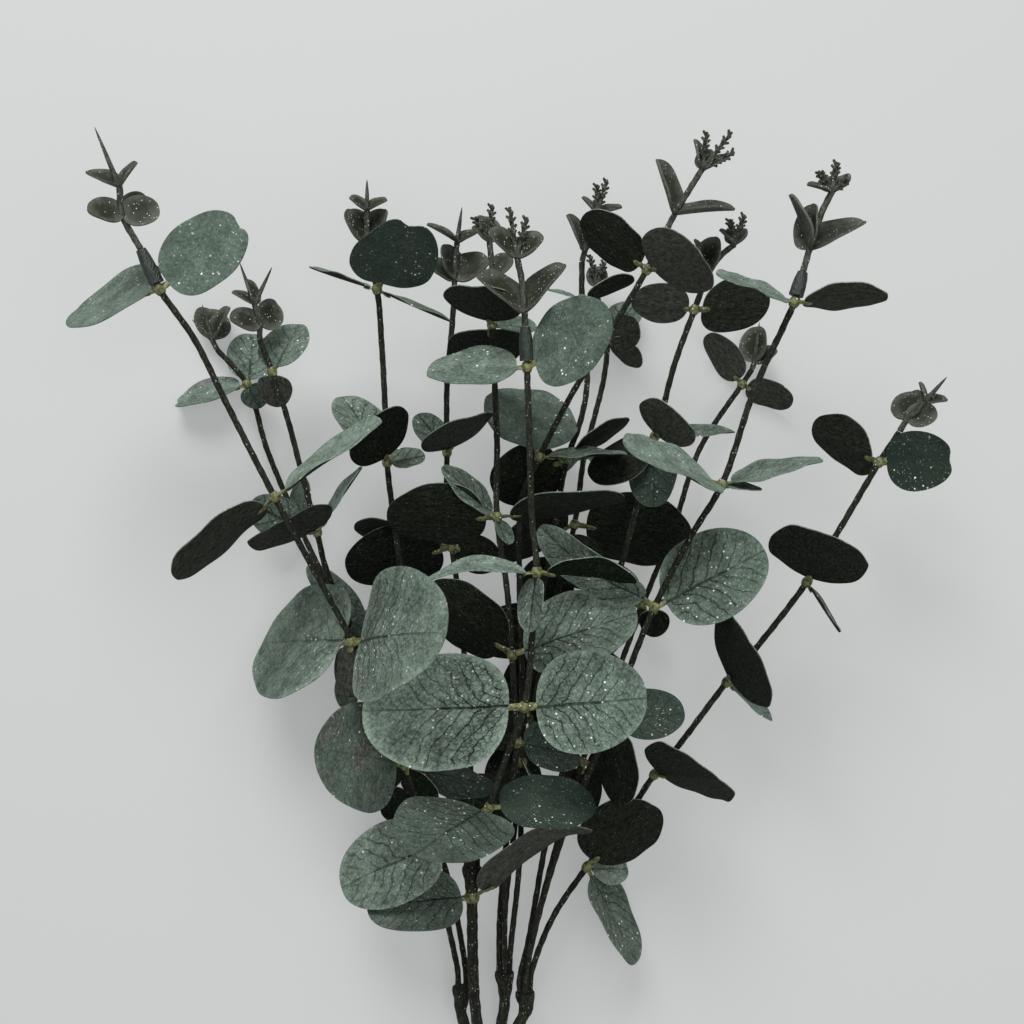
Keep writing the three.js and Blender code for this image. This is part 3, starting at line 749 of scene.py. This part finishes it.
def blade_faces(rows, columns):
    """The faces of a closed thin blade with a pole at each end, and the material number of each."""
    wide = columns + 1
    half = (rows - 1) * wide + 2
    last = half - 1
    top = []
    for row in range(rows):
        a = 1 + wide * (row - 1)
        for i in range(columns):
            if row == 0:
                top.append((0, 1 + i, 2 + i))
            elif row == rows - 1:
                top.append((a + i, last, a + i + 1))
            else:
                top.append((a + i, a + wide + i, a + wide + i + 1, a + i + 1))
    under_side = [tuple(half + v for v in reversed(face)) for face in top]
    left = [0] + [1 + wide * row for row in range(rows - 1)] + [last]
    right = [0] + [wide * (row + 1) for row in range(rows - 1)] + [last]
    rim = left + right[1:-1][::-1]
    edge = [(a, half + a, half + b, b) for a, b in zip(rim, rim[1:] + rim[:1])]
    return top + under_side + edge, [0] * len(top) + [1] * len(under_side) + [0] * len(edge)


def fine_blade(stand, bend, dish, thickness, rows, columns, look, frosted=0.6, worn=0, notch=0):
    """A leaf blade: egg-shaped, arched along its length, dished, and a little uneven. Its vertices carry
    where they are on the blade (mm along, mm across, and how strong its veins are), and how near they are
    to the rim, how frosted the leaf is (a low frost value also paints shade on a shaded leaf) and how worn."""
    length = stand["length"]
    along = np.array(stand["along"])
    across = np.array(stand["across"])
    normal = np.array(stand["normal"])
    arch = math.radians(bend)
    lift = math.radians(dish)
    radius = length / (2 * math.sin(arch / 2))
    u = np.linspace(0, 1, rows + 1)[:, None, None]
    v = np.linspace(-1, 1, columns + 1)[None, :, None]
    turn = np.pi * u
    full = np.maximum(np.sin(turn), 0) ** ROUNDNESS * (1 + BASE_FULLNESS * np.cos(turn))
    half = stand["width"] / 2 * full
    tilt = arch * ((1 - np.cos(turn)) / 2 - 0.5)
    up = normal * np.cos(tilt) + along * np.sin(tilt)
    reach = stand["arm"] + length / 2 + radius * np.sin(tilt)
    middle = np.array(stand["root"]) + along * reach
    middle = middle + normal * (radius * (np.cos(tilt) - math.cos(arch / 2)))
    middle = middle + across * (half * np.sin(lift * v) / lift)
    middle = middle + up * (half * (1 - np.cos(lift * v)) / lift)
    phase, waves, hollow, veined = look
    edge = np.abs(v) ** RIM_START * np.sin(turn)
    wave = np.sin(waves * turn + phase + 1.3 * v) * RIM_WAVE
    ripple = np.sin(RIPPLES_TO_WAVES * waves * turn - phase) * RIM_RIPPLE
    crease = hollow * np.exp(-((half * v / CREASE_WIDTH) ** 2)) * np.sin(turn)
    middle = middle + up * (length * (wave + ripple) * edge - crease)
    from_tip = (1 + np.cos(turn)) / 2 * length
    cut = np.exp(-((from_tip / NOTCH_REACH) ** 2) - (half * v / (NOTCH_REACH / 2)) ** 2)
    middle = middle - along * (notch * cut)
    across_mm = half * v
    along_mm = np.broadcast_to((1 - np.cos(turn)) / 2 * length, across_mm.shape)
    even = np.ones_like(across_mm)
    to_rim = np.sqrt(np.cos(turn) ** 2 + (v * np.sin(turn)) ** 2)
    blade_grid = np.concatenate([along_mm, across_mm, even * veined], -1)
    frost_grid = np.concatenate([to_rim, even * frosted, even * worn], -1)

    def with_poles(grid):
        return np.vstack([grid[0, :1], grid[1:-1].reshape(-1, 3), grid[-1, :1]])

    upper_sheet = with_poles(middle + up * (thickness / 2))
    under_sheet = with_poles(middle - up * (thickness / 2))
    faces, numbers = blade_faces(rows, columns)
    points = [Vector(p) for p in np.vstack([upper_sheet, under_sheet])]
    blades = np.vstack([with_poles(blade_grid)] * 2).tolist()
    frosts = np.vstack([with_poles(frost_grid)] * 2).tolist()
    return points, faces, numbers, blades, frosts


# Vein net: a midrib, side veins that leave it in arcs towards the tip, and a fine net between them, all
# fading towards the leaf's tip. The side veins and the net also end at the rim.
VEIN_SPACING = 2.7
VEIN_SHIFT = 1.4
VEIN_SLANT = -1.05
VEIN_CURVE = 0.014
VEIN_FAR = 48.0
VEIN_NEAR = 14.0
veins, start, end = new_group("vein net", {"Blade": VECTOR, "Rim": FLOAT}, {"Veins": FLOAT, "Net": FLOAT})
along_mm, across_mm, veined = add_node(veins, "ShaderNodeSeparateXYZ", {0: start.outputs[0]}).outputs
own_offset = add_node(veins, "ShaderNodeCombineXYZ", {"X": times(veins, veined, 37.0), "Z": veined})
both_places = {0: start.outputs[0], 1: own_offset.outputs[0]}
own_place = add_node(veins, "ShaderNodeVectorMath", both_places, operation="ADD").outputs[0]
slow = noise(veins, own_place, 0.09, 1).outputs[0]
quick, quick_colour = noise(veins, own_place, 0.5, 2).outputs
drift = times_plus(veins, slow, 9.0, times(veins, quick, 2.6))
fading = times_plus(veins, ramp(veins, along_mm, VEIN_FAR, VEIN_NEAR), 0.75, 0.25)
strength = times(veins, times_plus(veins, veined, 0.15, 0.1, clamp=True), fading)
off_middle = math_node(veins, "ABSOLUTE", times_plus(veins, drift, 0.1, across_mm))
midrib = ramp(veins, off_middle, times_plus(veins, along_mm, -0.009, 0.78), 0.2)
arc = times_plus(veins, off_middle, VEIN_SLANT, along_mm)
arc = times_plus(veins, times(veins, off_middle, off_middle), VEIN_CURVE, arc)
side = math_node(veins, "SIGN", across_mm)
arc = math_node(veins, "ADD", times_plus(veins, side, VEIN_SHIFT, drift), arc)
stripe = math_node(veins, "PINGPONG", math_node(veins, "ADD", arc, 80.0), VEIN_SPACING)
inward = ramp(veins, start.outputs[1], 1.0, 0.88)
side_vein = times(veins, ramp(veins, stripe, times_plus(veins, off_middle, -0.014, 0.56), 0.06), inward)
main_veins = math_node(veins, "MAXIMUM", times(veins, midrib, 1.3), side_vein)
veins.links.new(times(veins, main_veins, strength, clamp=True), end.inputs[0])
jitter_inputs = {0: quick_colour, 1: (2.4, 2.4, 0.0)}
jitter = add_node(veins, "ShaderNodeVectorMath", jitter_inputs, operation="MULTIPLY").outputs[0]
bent_place = add_node(veins, "ShaderNodeVectorMath", {0: own_place, 1: jitter}, operation="ADD").outputs[0]


def net_lines(scale, soft_edge):
    """Lines between the cells of a net."""
    inputs = {"Vector": bent_place, "Scale": scale}
    net = add_node(veins, "ShaderNodeTexVoronoi", inputs, feature="DISTANCE_TO_EDGE")
    return ramp(veins, net.outputs["Distance"], soft_edge, 0.04)


lines = math_node(veins, "MAXIMUM", net_lines(0.42, 0.17), times(veins, net_lines(0.95, 0.2), 0.5))
veins.links.new(times(veins, times(veins, lines, inward), strength), end.inputs[1])


def vertex_values(tree, attribute):
    return add_node(tree, "ShaderNodeAttribute", {}, attribute_name=attribute).outputs["Vector"]


def frost_values(tree):
    """How near the rim a blade's vertices are, how frosted it is (a low amount also paints shade), and how
    worn.
    """
    return add_node(tree, "ShaderNodeSeparateXYZ", {0: vertex_values(tree, "frost")}).outputs


LEAF_GREEN = tint(32, 46, 38)
LEAF_FROST = tint(140, 158, 144)
WORN_DARK = tint(60, 62, 56)
WORN_PALE = tint(122, 122, 114)
NET_GREEN = tint(26, 40, 32)
VEIN_GREEN = tint(18, 30, 23)
CLOUDS = 0.5
PATCHES = 0.45
EVEN_FROST = 0.12

leaf_upper, tree, shader = new_material("frosted leaf fabric", 0.8, Specular_IOR_Level=0.2)
blade = vertex_values(tree, "blade")
rim, leaf_frost_and_shade, brownness = frost_values(tree)
vein, net = use_group(tree, veins, Blade=blade, Rim=rim)
mottle = noise(tree, blade, 0.7, 5, 0.75).outputs[0]
cloud = noise(tree, blade, 0.11, 3, 0.6).outputs[0]
patchy = ramp(tree, mottle, 0.4, 0.62)
clouded = ramp(tree, cloud, 0.3, 0.72)
frosted = times_plus(tree, clouded, CLOUDS, times_plus(tree, patchy, PATCHES, EVEN_FROST))
# Each leaf's frost amount scales its frosting. A low amount paints the shade on a shaded leaf as bare dark
# green.
frosted = times(tree, frosted, leaf_frost_and_shade, clamp=True)
colour = mix_colours(tree, frosted, LEAF_GREEN, LEAF_FROST)
worn = ramp(tree, noise(tree, blade, 0.07, 4, 0.7).outputs[0], 0.5, 0.66)
worn_colour = mix_colours(tree, patchy, WORN_DARK, WORN_PALE)
colour = mix_colours(tree, times(tree, worn, brownness), colour, worn_colour)
uncovered = math_node(tree, "SUBTRACT", 1.5, clouded, clamp=True)
net_share = times(tree, net, times_plus(tree, leaf_frost_and_shade, 0.45, 0.15))
colour = mix_colours(tree, times(tree, net_share, uncovered), colour, NET_GREEN)
vein_share = times(tree, vein, times_plus(tree, leaf_frost_and_shade, 0.3, 0.6))
colour = mix_colours(tree, times(tree, vein_share, uncovered), colour, VEIN_GREEN)
dust = use_group(tree, glitter, Place=blade, Spacing=1.5)[0]
dusted = times(tree, dust, times_plus(tree, clouded, 0.75, 0.15))
colour = mix_colours(tree, dusted, colour, tint(206, 216, 205))
grains = use_group(tree, glitter, Place=blade, Spacing=0.6)[0]
sparkle = times(tree, grains, ramp(tree, cloud, 0.46, 0.6))
colour = mix_colours(tree, sparkle, colour, tint(240, 244, 240))
height = times_plus(tree, vein, -1.0, mottle)
height = times_plus(tree, net, -0.5, height)
finish_surface(tree, shader, colour, times_plus(tree, cloud, 2.0, height), 0.0006)

leaf_under, tree, shader = new_material("fibrous leaf underside", 0.86, Specular_IOR_Level=0.08)
blade = vertex_values(tree, "blade")
paleness = frost_values(tree)[2]
streaks, loose_ends = use_group(tree, fibres, Place=drawn_out(tree, blade, (0.4, 1, 1)), Fineness=1.1)
grains = use_group(tree, glitter, Place=blade, Spacing=0.9)[0]
dark = mix_colours(tree, streaks, tint(1, 5, 0), tint(32, 40, 28))
pale = mix_colours(tree, streaks, tint(58, 60, 54), tint(112, 114, 106))
colour = mix_colours(tree, paleness, dark, pale)
colour = mix_colours(tree, times(tree, loose_ends, 0.6), colour, tint(84, 88, 78))
colour = mix_colours(tree, times(tree, grains, 0.3), colour, tint(150, 156, 150))
finish_surface(tree, shader, colour, streaks, 0.0005)


def leaves_of(name, nodes):
    """Each leaf of a stem's collars: the number of its node, where it stands, and its blade."""
    made = []
    for number, node in enumerate(nodes):
        for order, spec in enumerate(node["leaves"]):
            which = (name, number, order)
            stand = standing(node, spec, ARM_SHARE)
            inward = BASE_REACH * stand["length"]
            stand["length"] += inward
            stand["arm"] -= inward
            bend = spec["bend"] * shape_stream.between(*BEND_SPREAD)
            dish = shape_stream.between(*DISH)
            phase = look_stream.between(*(FAINT_PHASE if which in FAINT else PHASE))
            veined = FULL_VEINS if which in VEINED else phase
            look = (phase, look_stream.between(*WAVES), look_stream.between(*HOLLOW), veined)
            # A listed low frost value paints the shade on that leaf as a darker green.
            frosted = FROST_AND_PAINTED_SHADE.get(which, look_stream.between(*FROST))
            worn = PALE.get(which, look_stream.between(*WEAR))
            fine = min(1, LEAST_FINENESS + stand["length"] / FINE_LENGTH)
            rows = round(FINE_ROWS * fine)
            columns = round(FINE_COLUMNS * fine / 2) * 2
            notch = NOTCHED.get(which, 0)
            blade_parts = fine_blade(
                stand, bend, dish, LEAF_THICKNESS, rows, columns, look, frosted, worn, notch
            )
            made.append((number, stand, blade_parts))
    return made


leafy = {f"twig_{name}": leaves_of(name, nodes) for name, nodes in TWIGS.items()}
leafy["main_stem_left_front"] = leaves_of("main_stem", MAIN_STEMS["left_front"])
for name, leaves in leafy.items():
    blade_parts = [blade for _, _, blade in leaves]
    new_piece(f"leaves_{name}", blade_parts, [leaf_upper, leaf_under], name)


# The collars
# A translucent yellow-olive plastic collar is threaded on the stem at each group of leaves. Flat arms run
# from it under the leaves, which are stuck to them.
COLLAR_RADIUS = 1.9
COLLAR_LENGTH = 3.8
COLLAR_END = 0.8
COLLAR_SWELL = 0.3
COLLAR_SIDES = 16
ARM_WIDTH = 1.7
ARM_REACH = 0.1
ARM_TAPER = 0.4
ARM_END = 0.4
ARM_FLATNESS = 0.42
ARM_DROP = 0.35
ARM_UNDER = 0.5
ARM_SIDES = 10
COLLAR_STEPS = 8

collar_plastic, tree, shader = new_material("yellow olive plastic", 0.45, Specular_IOR_Level=0.4)
on_collar = object_place(tree)
mottle = noise(tree, on_collar, 700, 4).outputs[0]
grains = use_group(tree, glitter, Place=on_collar, Spacing=900)[0]
colour = mix_colours(tree, ramp(tree, mottle, 0.35, 0.65), tint(52, 55, 30), tint(108, 112, 70))
colour = mix_colours(tree, grains, colour, tint(220, 224, 214))
finish_surface(tree, shader, colour, mottle, 0.0003)


def arm_width(share):
    return ARM_WIDTH * (1 - ARM_TAPER * share) * (1 if share < 1 else ARM_END)


def collar_arm(stand):
    """A flat arm that runs out from the stem and then under its leaf."""
    reach = stand["arm"] + ARM_REACH * stand["length"]
    line = []
    for k in range(COLLAR_STEPS + 1):
        share = k / COLLAR_STEPS
        is_under = share * reach > stand["arm"]
        drop = ARM_DROP + ARM_UNDER * share if is_under else ARM_DROP * share
        line.append(stand["root"] + stand["along"] * (share * reach) - stand["normal"] * drop)
    return plain_part(*closed_tube(line, arm_width, ARM_SIDES, flat=ARM_FLATNESS, across=stand["across"]))


def collar_ring(middle, way, core):
    """The collar's round body, along the stem's way. core is how much thicker than a twig the stem is."""
    ring = [middle + way * (COLLAR_LENGTH * (k / COLLAR_STEPS - 0.5)) for k in range(COLLAR_STEPS + 1)]
    return plain_part(
        *closed_tube(
            ring,
            lambda share: core + COLLAR_RADIUS * (COLLAR_END + COLLAR_SWELL * math.sin(math.pi * share)),
            COLLAR_SIDES,
        )
    )


stems = {f"twig_{name}": [*nodes, MAIN_STEMS[FEET[name][0]][0]] for name, nodes in TWIGS.items()}
stems["main_stem_left_front"] = MAIN_STEMS["left_front"]
for name, nodes in stems.items():
    core = MAIN_STEM_RADIUS - TWIG_RADIUS if name.startswith("main") else 0
    parts = []
    last_number = None
    for number, stand, _ in leafy[name]:
        parts.append(collar_arm(stand))
        if number != last_number:
            way = (place(nodes[max(number - 1, 0)]) - place(nodes[number + 1])).normalized()
            parts.append(collar_ring(stand["root"], way, core))
            last_number = number
    new_piece(f"collars_{name}", parts, [collar_plastic], name)


# The tips
# Each twig ends in a soft moulded tip: a thin stalk with cupped leaflets in pairs, grey and frosted above
# and olive below, and at the very end either bare needles or small branched sprigs.
TIPS = {
    "left_outer": [
        at(-148.5, 105, 51.5),
        at(-156, 119, 53, upper(-14, 2, 3, -11), upper(10, 6, 6, -10), upper(15, 2, 3, -13)),
        at(-157, 130, 54, upper(-13, 6, 3, 5), upper(7, 10, 5, -3)),
    ],
    "left_back": [at(-118, 65, -55), at(-120, 69, -55, upper(-1, 12, 14, -2), upper(7, 13, 7, -3))],
    "left_inner": [
        at(-101, 69, -12),
        at(-101, 75, -11, upper(-12, 3, 1, -10), upper(7, 8, 7, -9)),
        at(-103, 83, -10, upper(-9, 5, 1, 3), upper(-3, 10, 3, 0)),
    ],
    "left_middle": [
        at(-58, 104, 6),
        at(-58, 107, 6, upper(-7, 14, 10, 3), upper(7, 14, 10, -3)),
        at(-58, 121, 7, upper(-7, 5, 2, 4), upper(8, 4, 2, -4)),
    ],
    "centre_left": [
        at(-23, 88, -16),
        at(-23, 93, -16, upper(-4, 14, 8, 2), upper(13, 9, 9, -9), upper(-10, 7, 4, 7)),
        at(-22, 108, -15, upper(-12, 7, 1, 2), upper(8, 4, 2, -4)),
    ],
    "centre_high": [
        at(-9, 91, 13),
        at(-8, 96, 13, upper(8, 6, 5, -7)),
        at(-9, 108, 12, upper(-7, 6, 2, 3), upper(-2, 10, 11, -1)),
    ],
    "centre_front": [
        at(5.3, 74, 46.6),
        at(5, 80, 47, upper(-19, 15, 6, 10), upper(16, 19, 9, -6)),
        at(4, 92, 45),
        at(2, 102, 46, upper(-11, 11, 6, 7), upper(10, 9, 6, -7), upper(0, 6, 11, 0)),
    ],
    "centre_back": [
        at(28, 100, -14),
        at(29, 104, -14, upper(-7, 15, 5, 4), upper(6, 10, 4, -3)),
        at(34, 119, -13, upper(-6, 7, 2, 2), upper(10, 3, 1, -4)),
    ],
    "centre_far": [at(34, 87, -52), at(34, 90, -52, upper(0, 8, 9, 0))],
    "right_crossing": [
        at(60, 109, 15),
        at(65, 119, 16, upper(-7, 22, 9, 3), upper(24, 2, 1, -7)),
        at(71, 129, 17),
        at(76, 137, 18, upper(-3, 12, 5, 1), upper(11, 5, 2, -5), upper(3, 8, 7, -2)),
    ],
    "right_inner": [
        at(77, 92, 2),
        at(78, 95, 2, upper(-5, 14, 5, 1), upper(3, 15, 9, -1)),
        at(84, 103, 3),
        at(89, 107, 3, upper(2, 6, 9, 0), upper(-6, 6, 2, 2)),
    ],
    "right_middle": [
        at(116.4, 96, 46),
        at(119, 105, 46, upper(-8, 22, 4, 3), upper(1, 18, 7, 1), upper(22, 11, 5, -8)),
        at(124, 120, 47),
        at(128, 128, 47, upper(-10, 3, 2, 3), upper(3, 6, 12, 0)),
    ],
    "right_back": [at(96, 57, -54), at(97, 60, -54, upper(1, 14, 10, 1), upper(9, 5, 2, -6))],
    "right_low": [
        at(155, 32, 14),
        at(158, 37, 14, upper(2, 11, 11, 2), upper(12, 3, 2, -10)),
        at(165, 44, 15, upper(-2, 8, 3, 0), upper(9, 1, 1, -4)),
    ],
}
# Where the needles and the sprigs at the tips' far ends are seen to end.
NEEDLES = {
    "left_outer": [(-167, 154)],
    "left_back": [(-128, 77), (-124, 83)],
    "left_inner": [(-109, 100), (-96, 98)],
    "left_middle": [(-58, 133)],
    "centre_left": [(-20, 122)],
    "right_back": [(99, 76)],
    "right_low": [(174, 54)],
}
SPRIGS = {
    "centre_high": [(-15, 118), (-8, 123)],
    "centre_front": [(-1, 122), (6, 118)],
    "centre_back": [(34, 131), (38, 133)],
    "centre_far": [(31, 103), (37, 100)],
    "right_crossing": [(78, 152), (88, 152), (89, 144)],
    "right_inner": [(87, 117), (93, 119)],
    "right_middle": [(123, 136), (130, 140), (134, 133)],
}
TIP_STALK_RADIUS = 1.2
TIP_STEP = 1.0
TIP_SIDES = 10
TIP_LUMPS = 0.05
LEAFLET_THICKNESS = 0.8
LEAFLET_BEND = 10
LEAFLET_DISH = 30
LEAFLET_ROWS = 16
LEAFLET_COLUMNS = 10
LEAFLET_PHASE = (0, 6)
LEAFLET_WAVES = 2
LEAFLET_HOLLOW = 0.1
END_RISE = 1
END_STEPS = 8
END_SIDES = 8
NEEDLE_RADIUS = 1.1
NEEDLE_POINT = 0.08
NEEDLE_TAPER = 0.6
NEEDLE_LUMPS = 0.04
SPRIG_RADIUS = 1.0
SPRIG_TAPER = 0.4
BARBS = 13
BARBS_FROM = 0.3
BARBS_SPAN = 0.65
BARB_TURN = math.radians(137.5)
BARB_FORWARD = 1.6
BARB_OUT = 1.8
BARB_RADIUS = 0.68
BARB_TAPER = 0.2
BARB_STEPS = 4
BARB_SIDES = 6

tip_plastic, tree, shader = new_material("moulded olive tip", 0.65, Specular_IOR_Level=0.3)
on_tip = object_place(tree)
streaks = use_group(tree, fibres, Place=drawn_out(tree, on_tip, (1, 0.5, 1)), Fineness=700)[0]
grains = use_group(tree, glitter, Place=on_tip, Spacing=900)[0]
colour = mix_colours(tree, streaks, tint(24, 28, 20), tint(78, 82, 71))
colour = mix_colours(tree, times(tree, grains, 0.6), colour, tint(214, 220, 214))
finish_surface(tree, shader, colour, streaks, 0.0003)

# The leaflets are olive in the middle and frosted grey towards the rim.
leaflet_plastic, tree, shader = new_material("frosted olive leaflet", 0.65, Specular_IOR_Level=0.3)
on_tip = object_place(tree)
rim = frost_values(tree)[0]
mottle = noise(tree, on_tip, 420, 4).outputs[0]
grains = use_group(tree, glitter, Place=on_tip, Spacing=1100)[0]
uneven_rim = times_plus(tree, mottle, 0.9, math_node(tree, "SUBTRACT", rim, 0.45))
colour = mix_colours(tree, ramp(tree, uneven_rim, 0.45, 1.05), tint(26, 30, 15), tint(74, 78, 69))
colour = mix_colours(tree, times(tree, grains, 0.7), colour, tint(222, 228, 222))
finish_surface(tree, shader, colour, mottle, 0.0003)


def leaflet(node, spec):
    """A cupped leaflet, in the tip's second material."""
    look = (look_stream.between(*LEAFLET_PHASE), LEAFLET_WAVES, LEAFLET_HOLLOW, 0)
    points, faces, numbers, *values = fine_blade(
        standing(node, spec, 0),
        LEAFLET_BEND,
        LEAFLET_DISH,
        LEAFLET_THICKNESS,
        LEAFLET_ROWS,
        LEAFLET_COLUMNS,
        look,
    )
    return points, faces, [1] * len(numbers), *values


def needle(root, end_point):
    line = straight_line(root, end_point, END_STEPS)
    return plain_part(
        *closed_tube(
            line,
            lambda share: NEEDLE_RADIUS * (1 - share) ** NEEDLE_TAPER + NEEDLE_POINT,
            END_SIDES,
            lumps=NEEDLE_LUMPS,
        )
    )


def sprig(root, end_point):
    """A thin stem with short barbs all round it."""
    line = straight_line(root, end_point, END_STEPS)
    parts = [plain_part(*closed_tube(line, lambda share: SPRIG_RADIUS - SPRIG_TAPER * share, END_SIDES))]
    way = end_point - root
    forward = way.normalized()
    sideways = Vector((way.y, -way.x, 0)).normalized()
    for k in range(BARBS):
        foot = root + way * (BARBS_FROM + BARBS_SPAN * k / BARBS)
        out = sideways * math.cos(BARB_TURN * k) + forward.cross(sideways) * math.sin(BARB_TURN * k)
        barb = straight_line(foot, foot + forward * BARB_FORWARD + out * BARB_OUT, BARB_STEPS)
        tube = closed_tube(barb, lambda share: BARB_RADIUS - BARB_TAPER * share, BARB_SIDES)
        parts.append(plain_part(*tube))
    return parts


for name, nodes in TIPS.items():
    points = [place(n) for n in nodes]
    points[0] = points[0] + (points[1] - points[0]).normalized() * JOINT_GAP
    line = smooth_line(points, TIP_STEP)
    parts = [plain_part(*closed_tube(line, lambda share: TIP_STALK_RADIUS, TIP_SIDES, lumps=TIP_LUMPS))]
    for node in nodes:
        parts.extend(leaflet(node, spec) for spec in node["leaves"])
    far_end = nodes[-1]["h"] + END_RISE
    for x, y in NEEDLES.get(name, ()):
        parts.append(needle(points[-1], place(at(x, y, far_end))))
    for x, y in SPRIGS.get(name, ()):
        parts.extend(sprig(points[-1], place(at(x, y, far_end))))
    new_piece(f"tip_piece_{name}", parts, [tip_plastic, leaflet_plastic], f"tip_{name}")


# The sleeves
# Three of the tips are joined to their twigs by a short tube of dark green plastic.
SLEEVED = ["left_outer", "centre_front", "right_middle"]
SLEEVE_RADIUS = 2.7
SLEEVE_TOP_RADIUS = 1.8
SLEEVE_STEPS = 12
SLEEVE_SIDES = 20
SLEEVE_LUMPS = 0.01

sleeve_plastic, tree, shader = new_material("dark green sleeve", 0.5)
on_sleeve = drawn_out(tree, object_place(tree), (1, 0.3, 1))
streaks = use_group(tree, fibres, Place=on_sleeve, Fineness=600)[0]
colour = mix_colours(tree, streaks, tint(12, 20, 15), tint(34, 46, 38))
finish_surface(tree, shader, colour, streaks, 0.0003)


def sleeve_width(share):
    return SLEEVE_RADIUS + (SLEEVE_TOP_RADIUS - SLEEVE_RADIUS) * share**3


for name in SLEEVED:
    line = straight_line(place(TWIGS[name][0]), place(TIPS[name][0]), SLEEVE_STEPS)
    part = plain_part(*closed_tube(line, sleeve_width, SLEEVE_SIDES, lumps=SLEEVE_LUMPS))
    new_piece(f"sleeve_piece_{name}", [part], [sleeve_plastic], f"sleeve_{name}")


# The floor, the light and the camera
# A plain pale floor that glows a little, to lighten the shadows the branch casts on it, under soft light
# from the leafy end, and a camera that looks down on the branch.
FLOOR_SIZE = 8.0
FLOOR_GREY = (0.215, 0.22, 0.215, 1)
FLOOR_GLOW = (0.97, 1.0, 0.985, 1)
FLOOR_GLOW_STRENGTH = 0.31
ROOM_COLOUR = (0.96, 0.99, 0.97, 1)
ROOM_STRENGTH = 0.3
LENS = 50
SENSOR_WIDTH = 36
NEAREST_SEEN = 0.01

floor_mesh = bpy.data.meshes.new("floor")
corner = FLOOR_SIZE / 2
corners = [(-corner, -corner, 0), (corner, -corner, 0), (corner, corner, 0), (-corner, corner, 0)]
floor_mesh.from_pydata(corners, [], [(0, 1, 2, 3)])
floor = bpy.data.objects.new("floor", floor_mesh)
bpy.context.scene.collection.objects.link(floor)
# The floor's glow is painted light that lightens the shadows the branch casts on it.
floor_paint, tree, shader = new_material("pale floor", 0.9, Emission_Strength=FLOOR_GLOW_STRENGTH)
shader.inputs["Base Color"].default_value = FLOOR_GREY
shader.inputs["Emission Color"].default_value = FLOOR_GLOW
floor_mesh.materials.append(floor_paint)

world = bpy.data.worlds.new("room")
bpy.context.scene.world = world
world.use_nodes = True
world.node_tree.nodes["Background"].inputs[0].default_value = ROOM_COLOUR
world.node_tree.nodes["Background"].inputs[1].default_value = ROOM_STRENGTH


def area_light(name, lamp_place, target, size, power):
    light = bpy.data.lights.new(name, "AREA")
    light.shape = "DISK"
    light.size = size
    light.energy = power
    lamp = bpy.data.objects.new(name, light)
    lamp.location = lamp_place
    lamp.rotation_euler = (Vector(target) - Vector(lamp_place)).to_track_quat("-Z", "Y").to_euler()
    bpy.context.scene.collection.objects.link(lamp)


area_light("window", (-0.25, 1.0, 1.2), (0, 0.1, 0.05), 0.9, 25)
area_light("fill", (0.4, -0.4, 1.5), (0, 0.0, 0.05), 1.2, 13)

camera_data = bpy.data.cameras.new("camera")
camera_data.lens = LENS
camera_data.sensor_width = SENSOR_WIDTH
camera_data.clip_start = NEAREST_SEEN
camera = bpy.data.objects.new("camera", camera_data)
eye = TO_SURFACE @ Matrix.Translation((0, 0, EYE_HEIGHT))
camera.matrix_world = Matrix.Translation(eye.translation * MM) @ eye.to_3x3().to_4x4()
bpy.context.scene.collection.objects.link(camera)
bpy.context.scene.camera = camera
bpy.context.scene.view_settings.view_transform = "Standard"
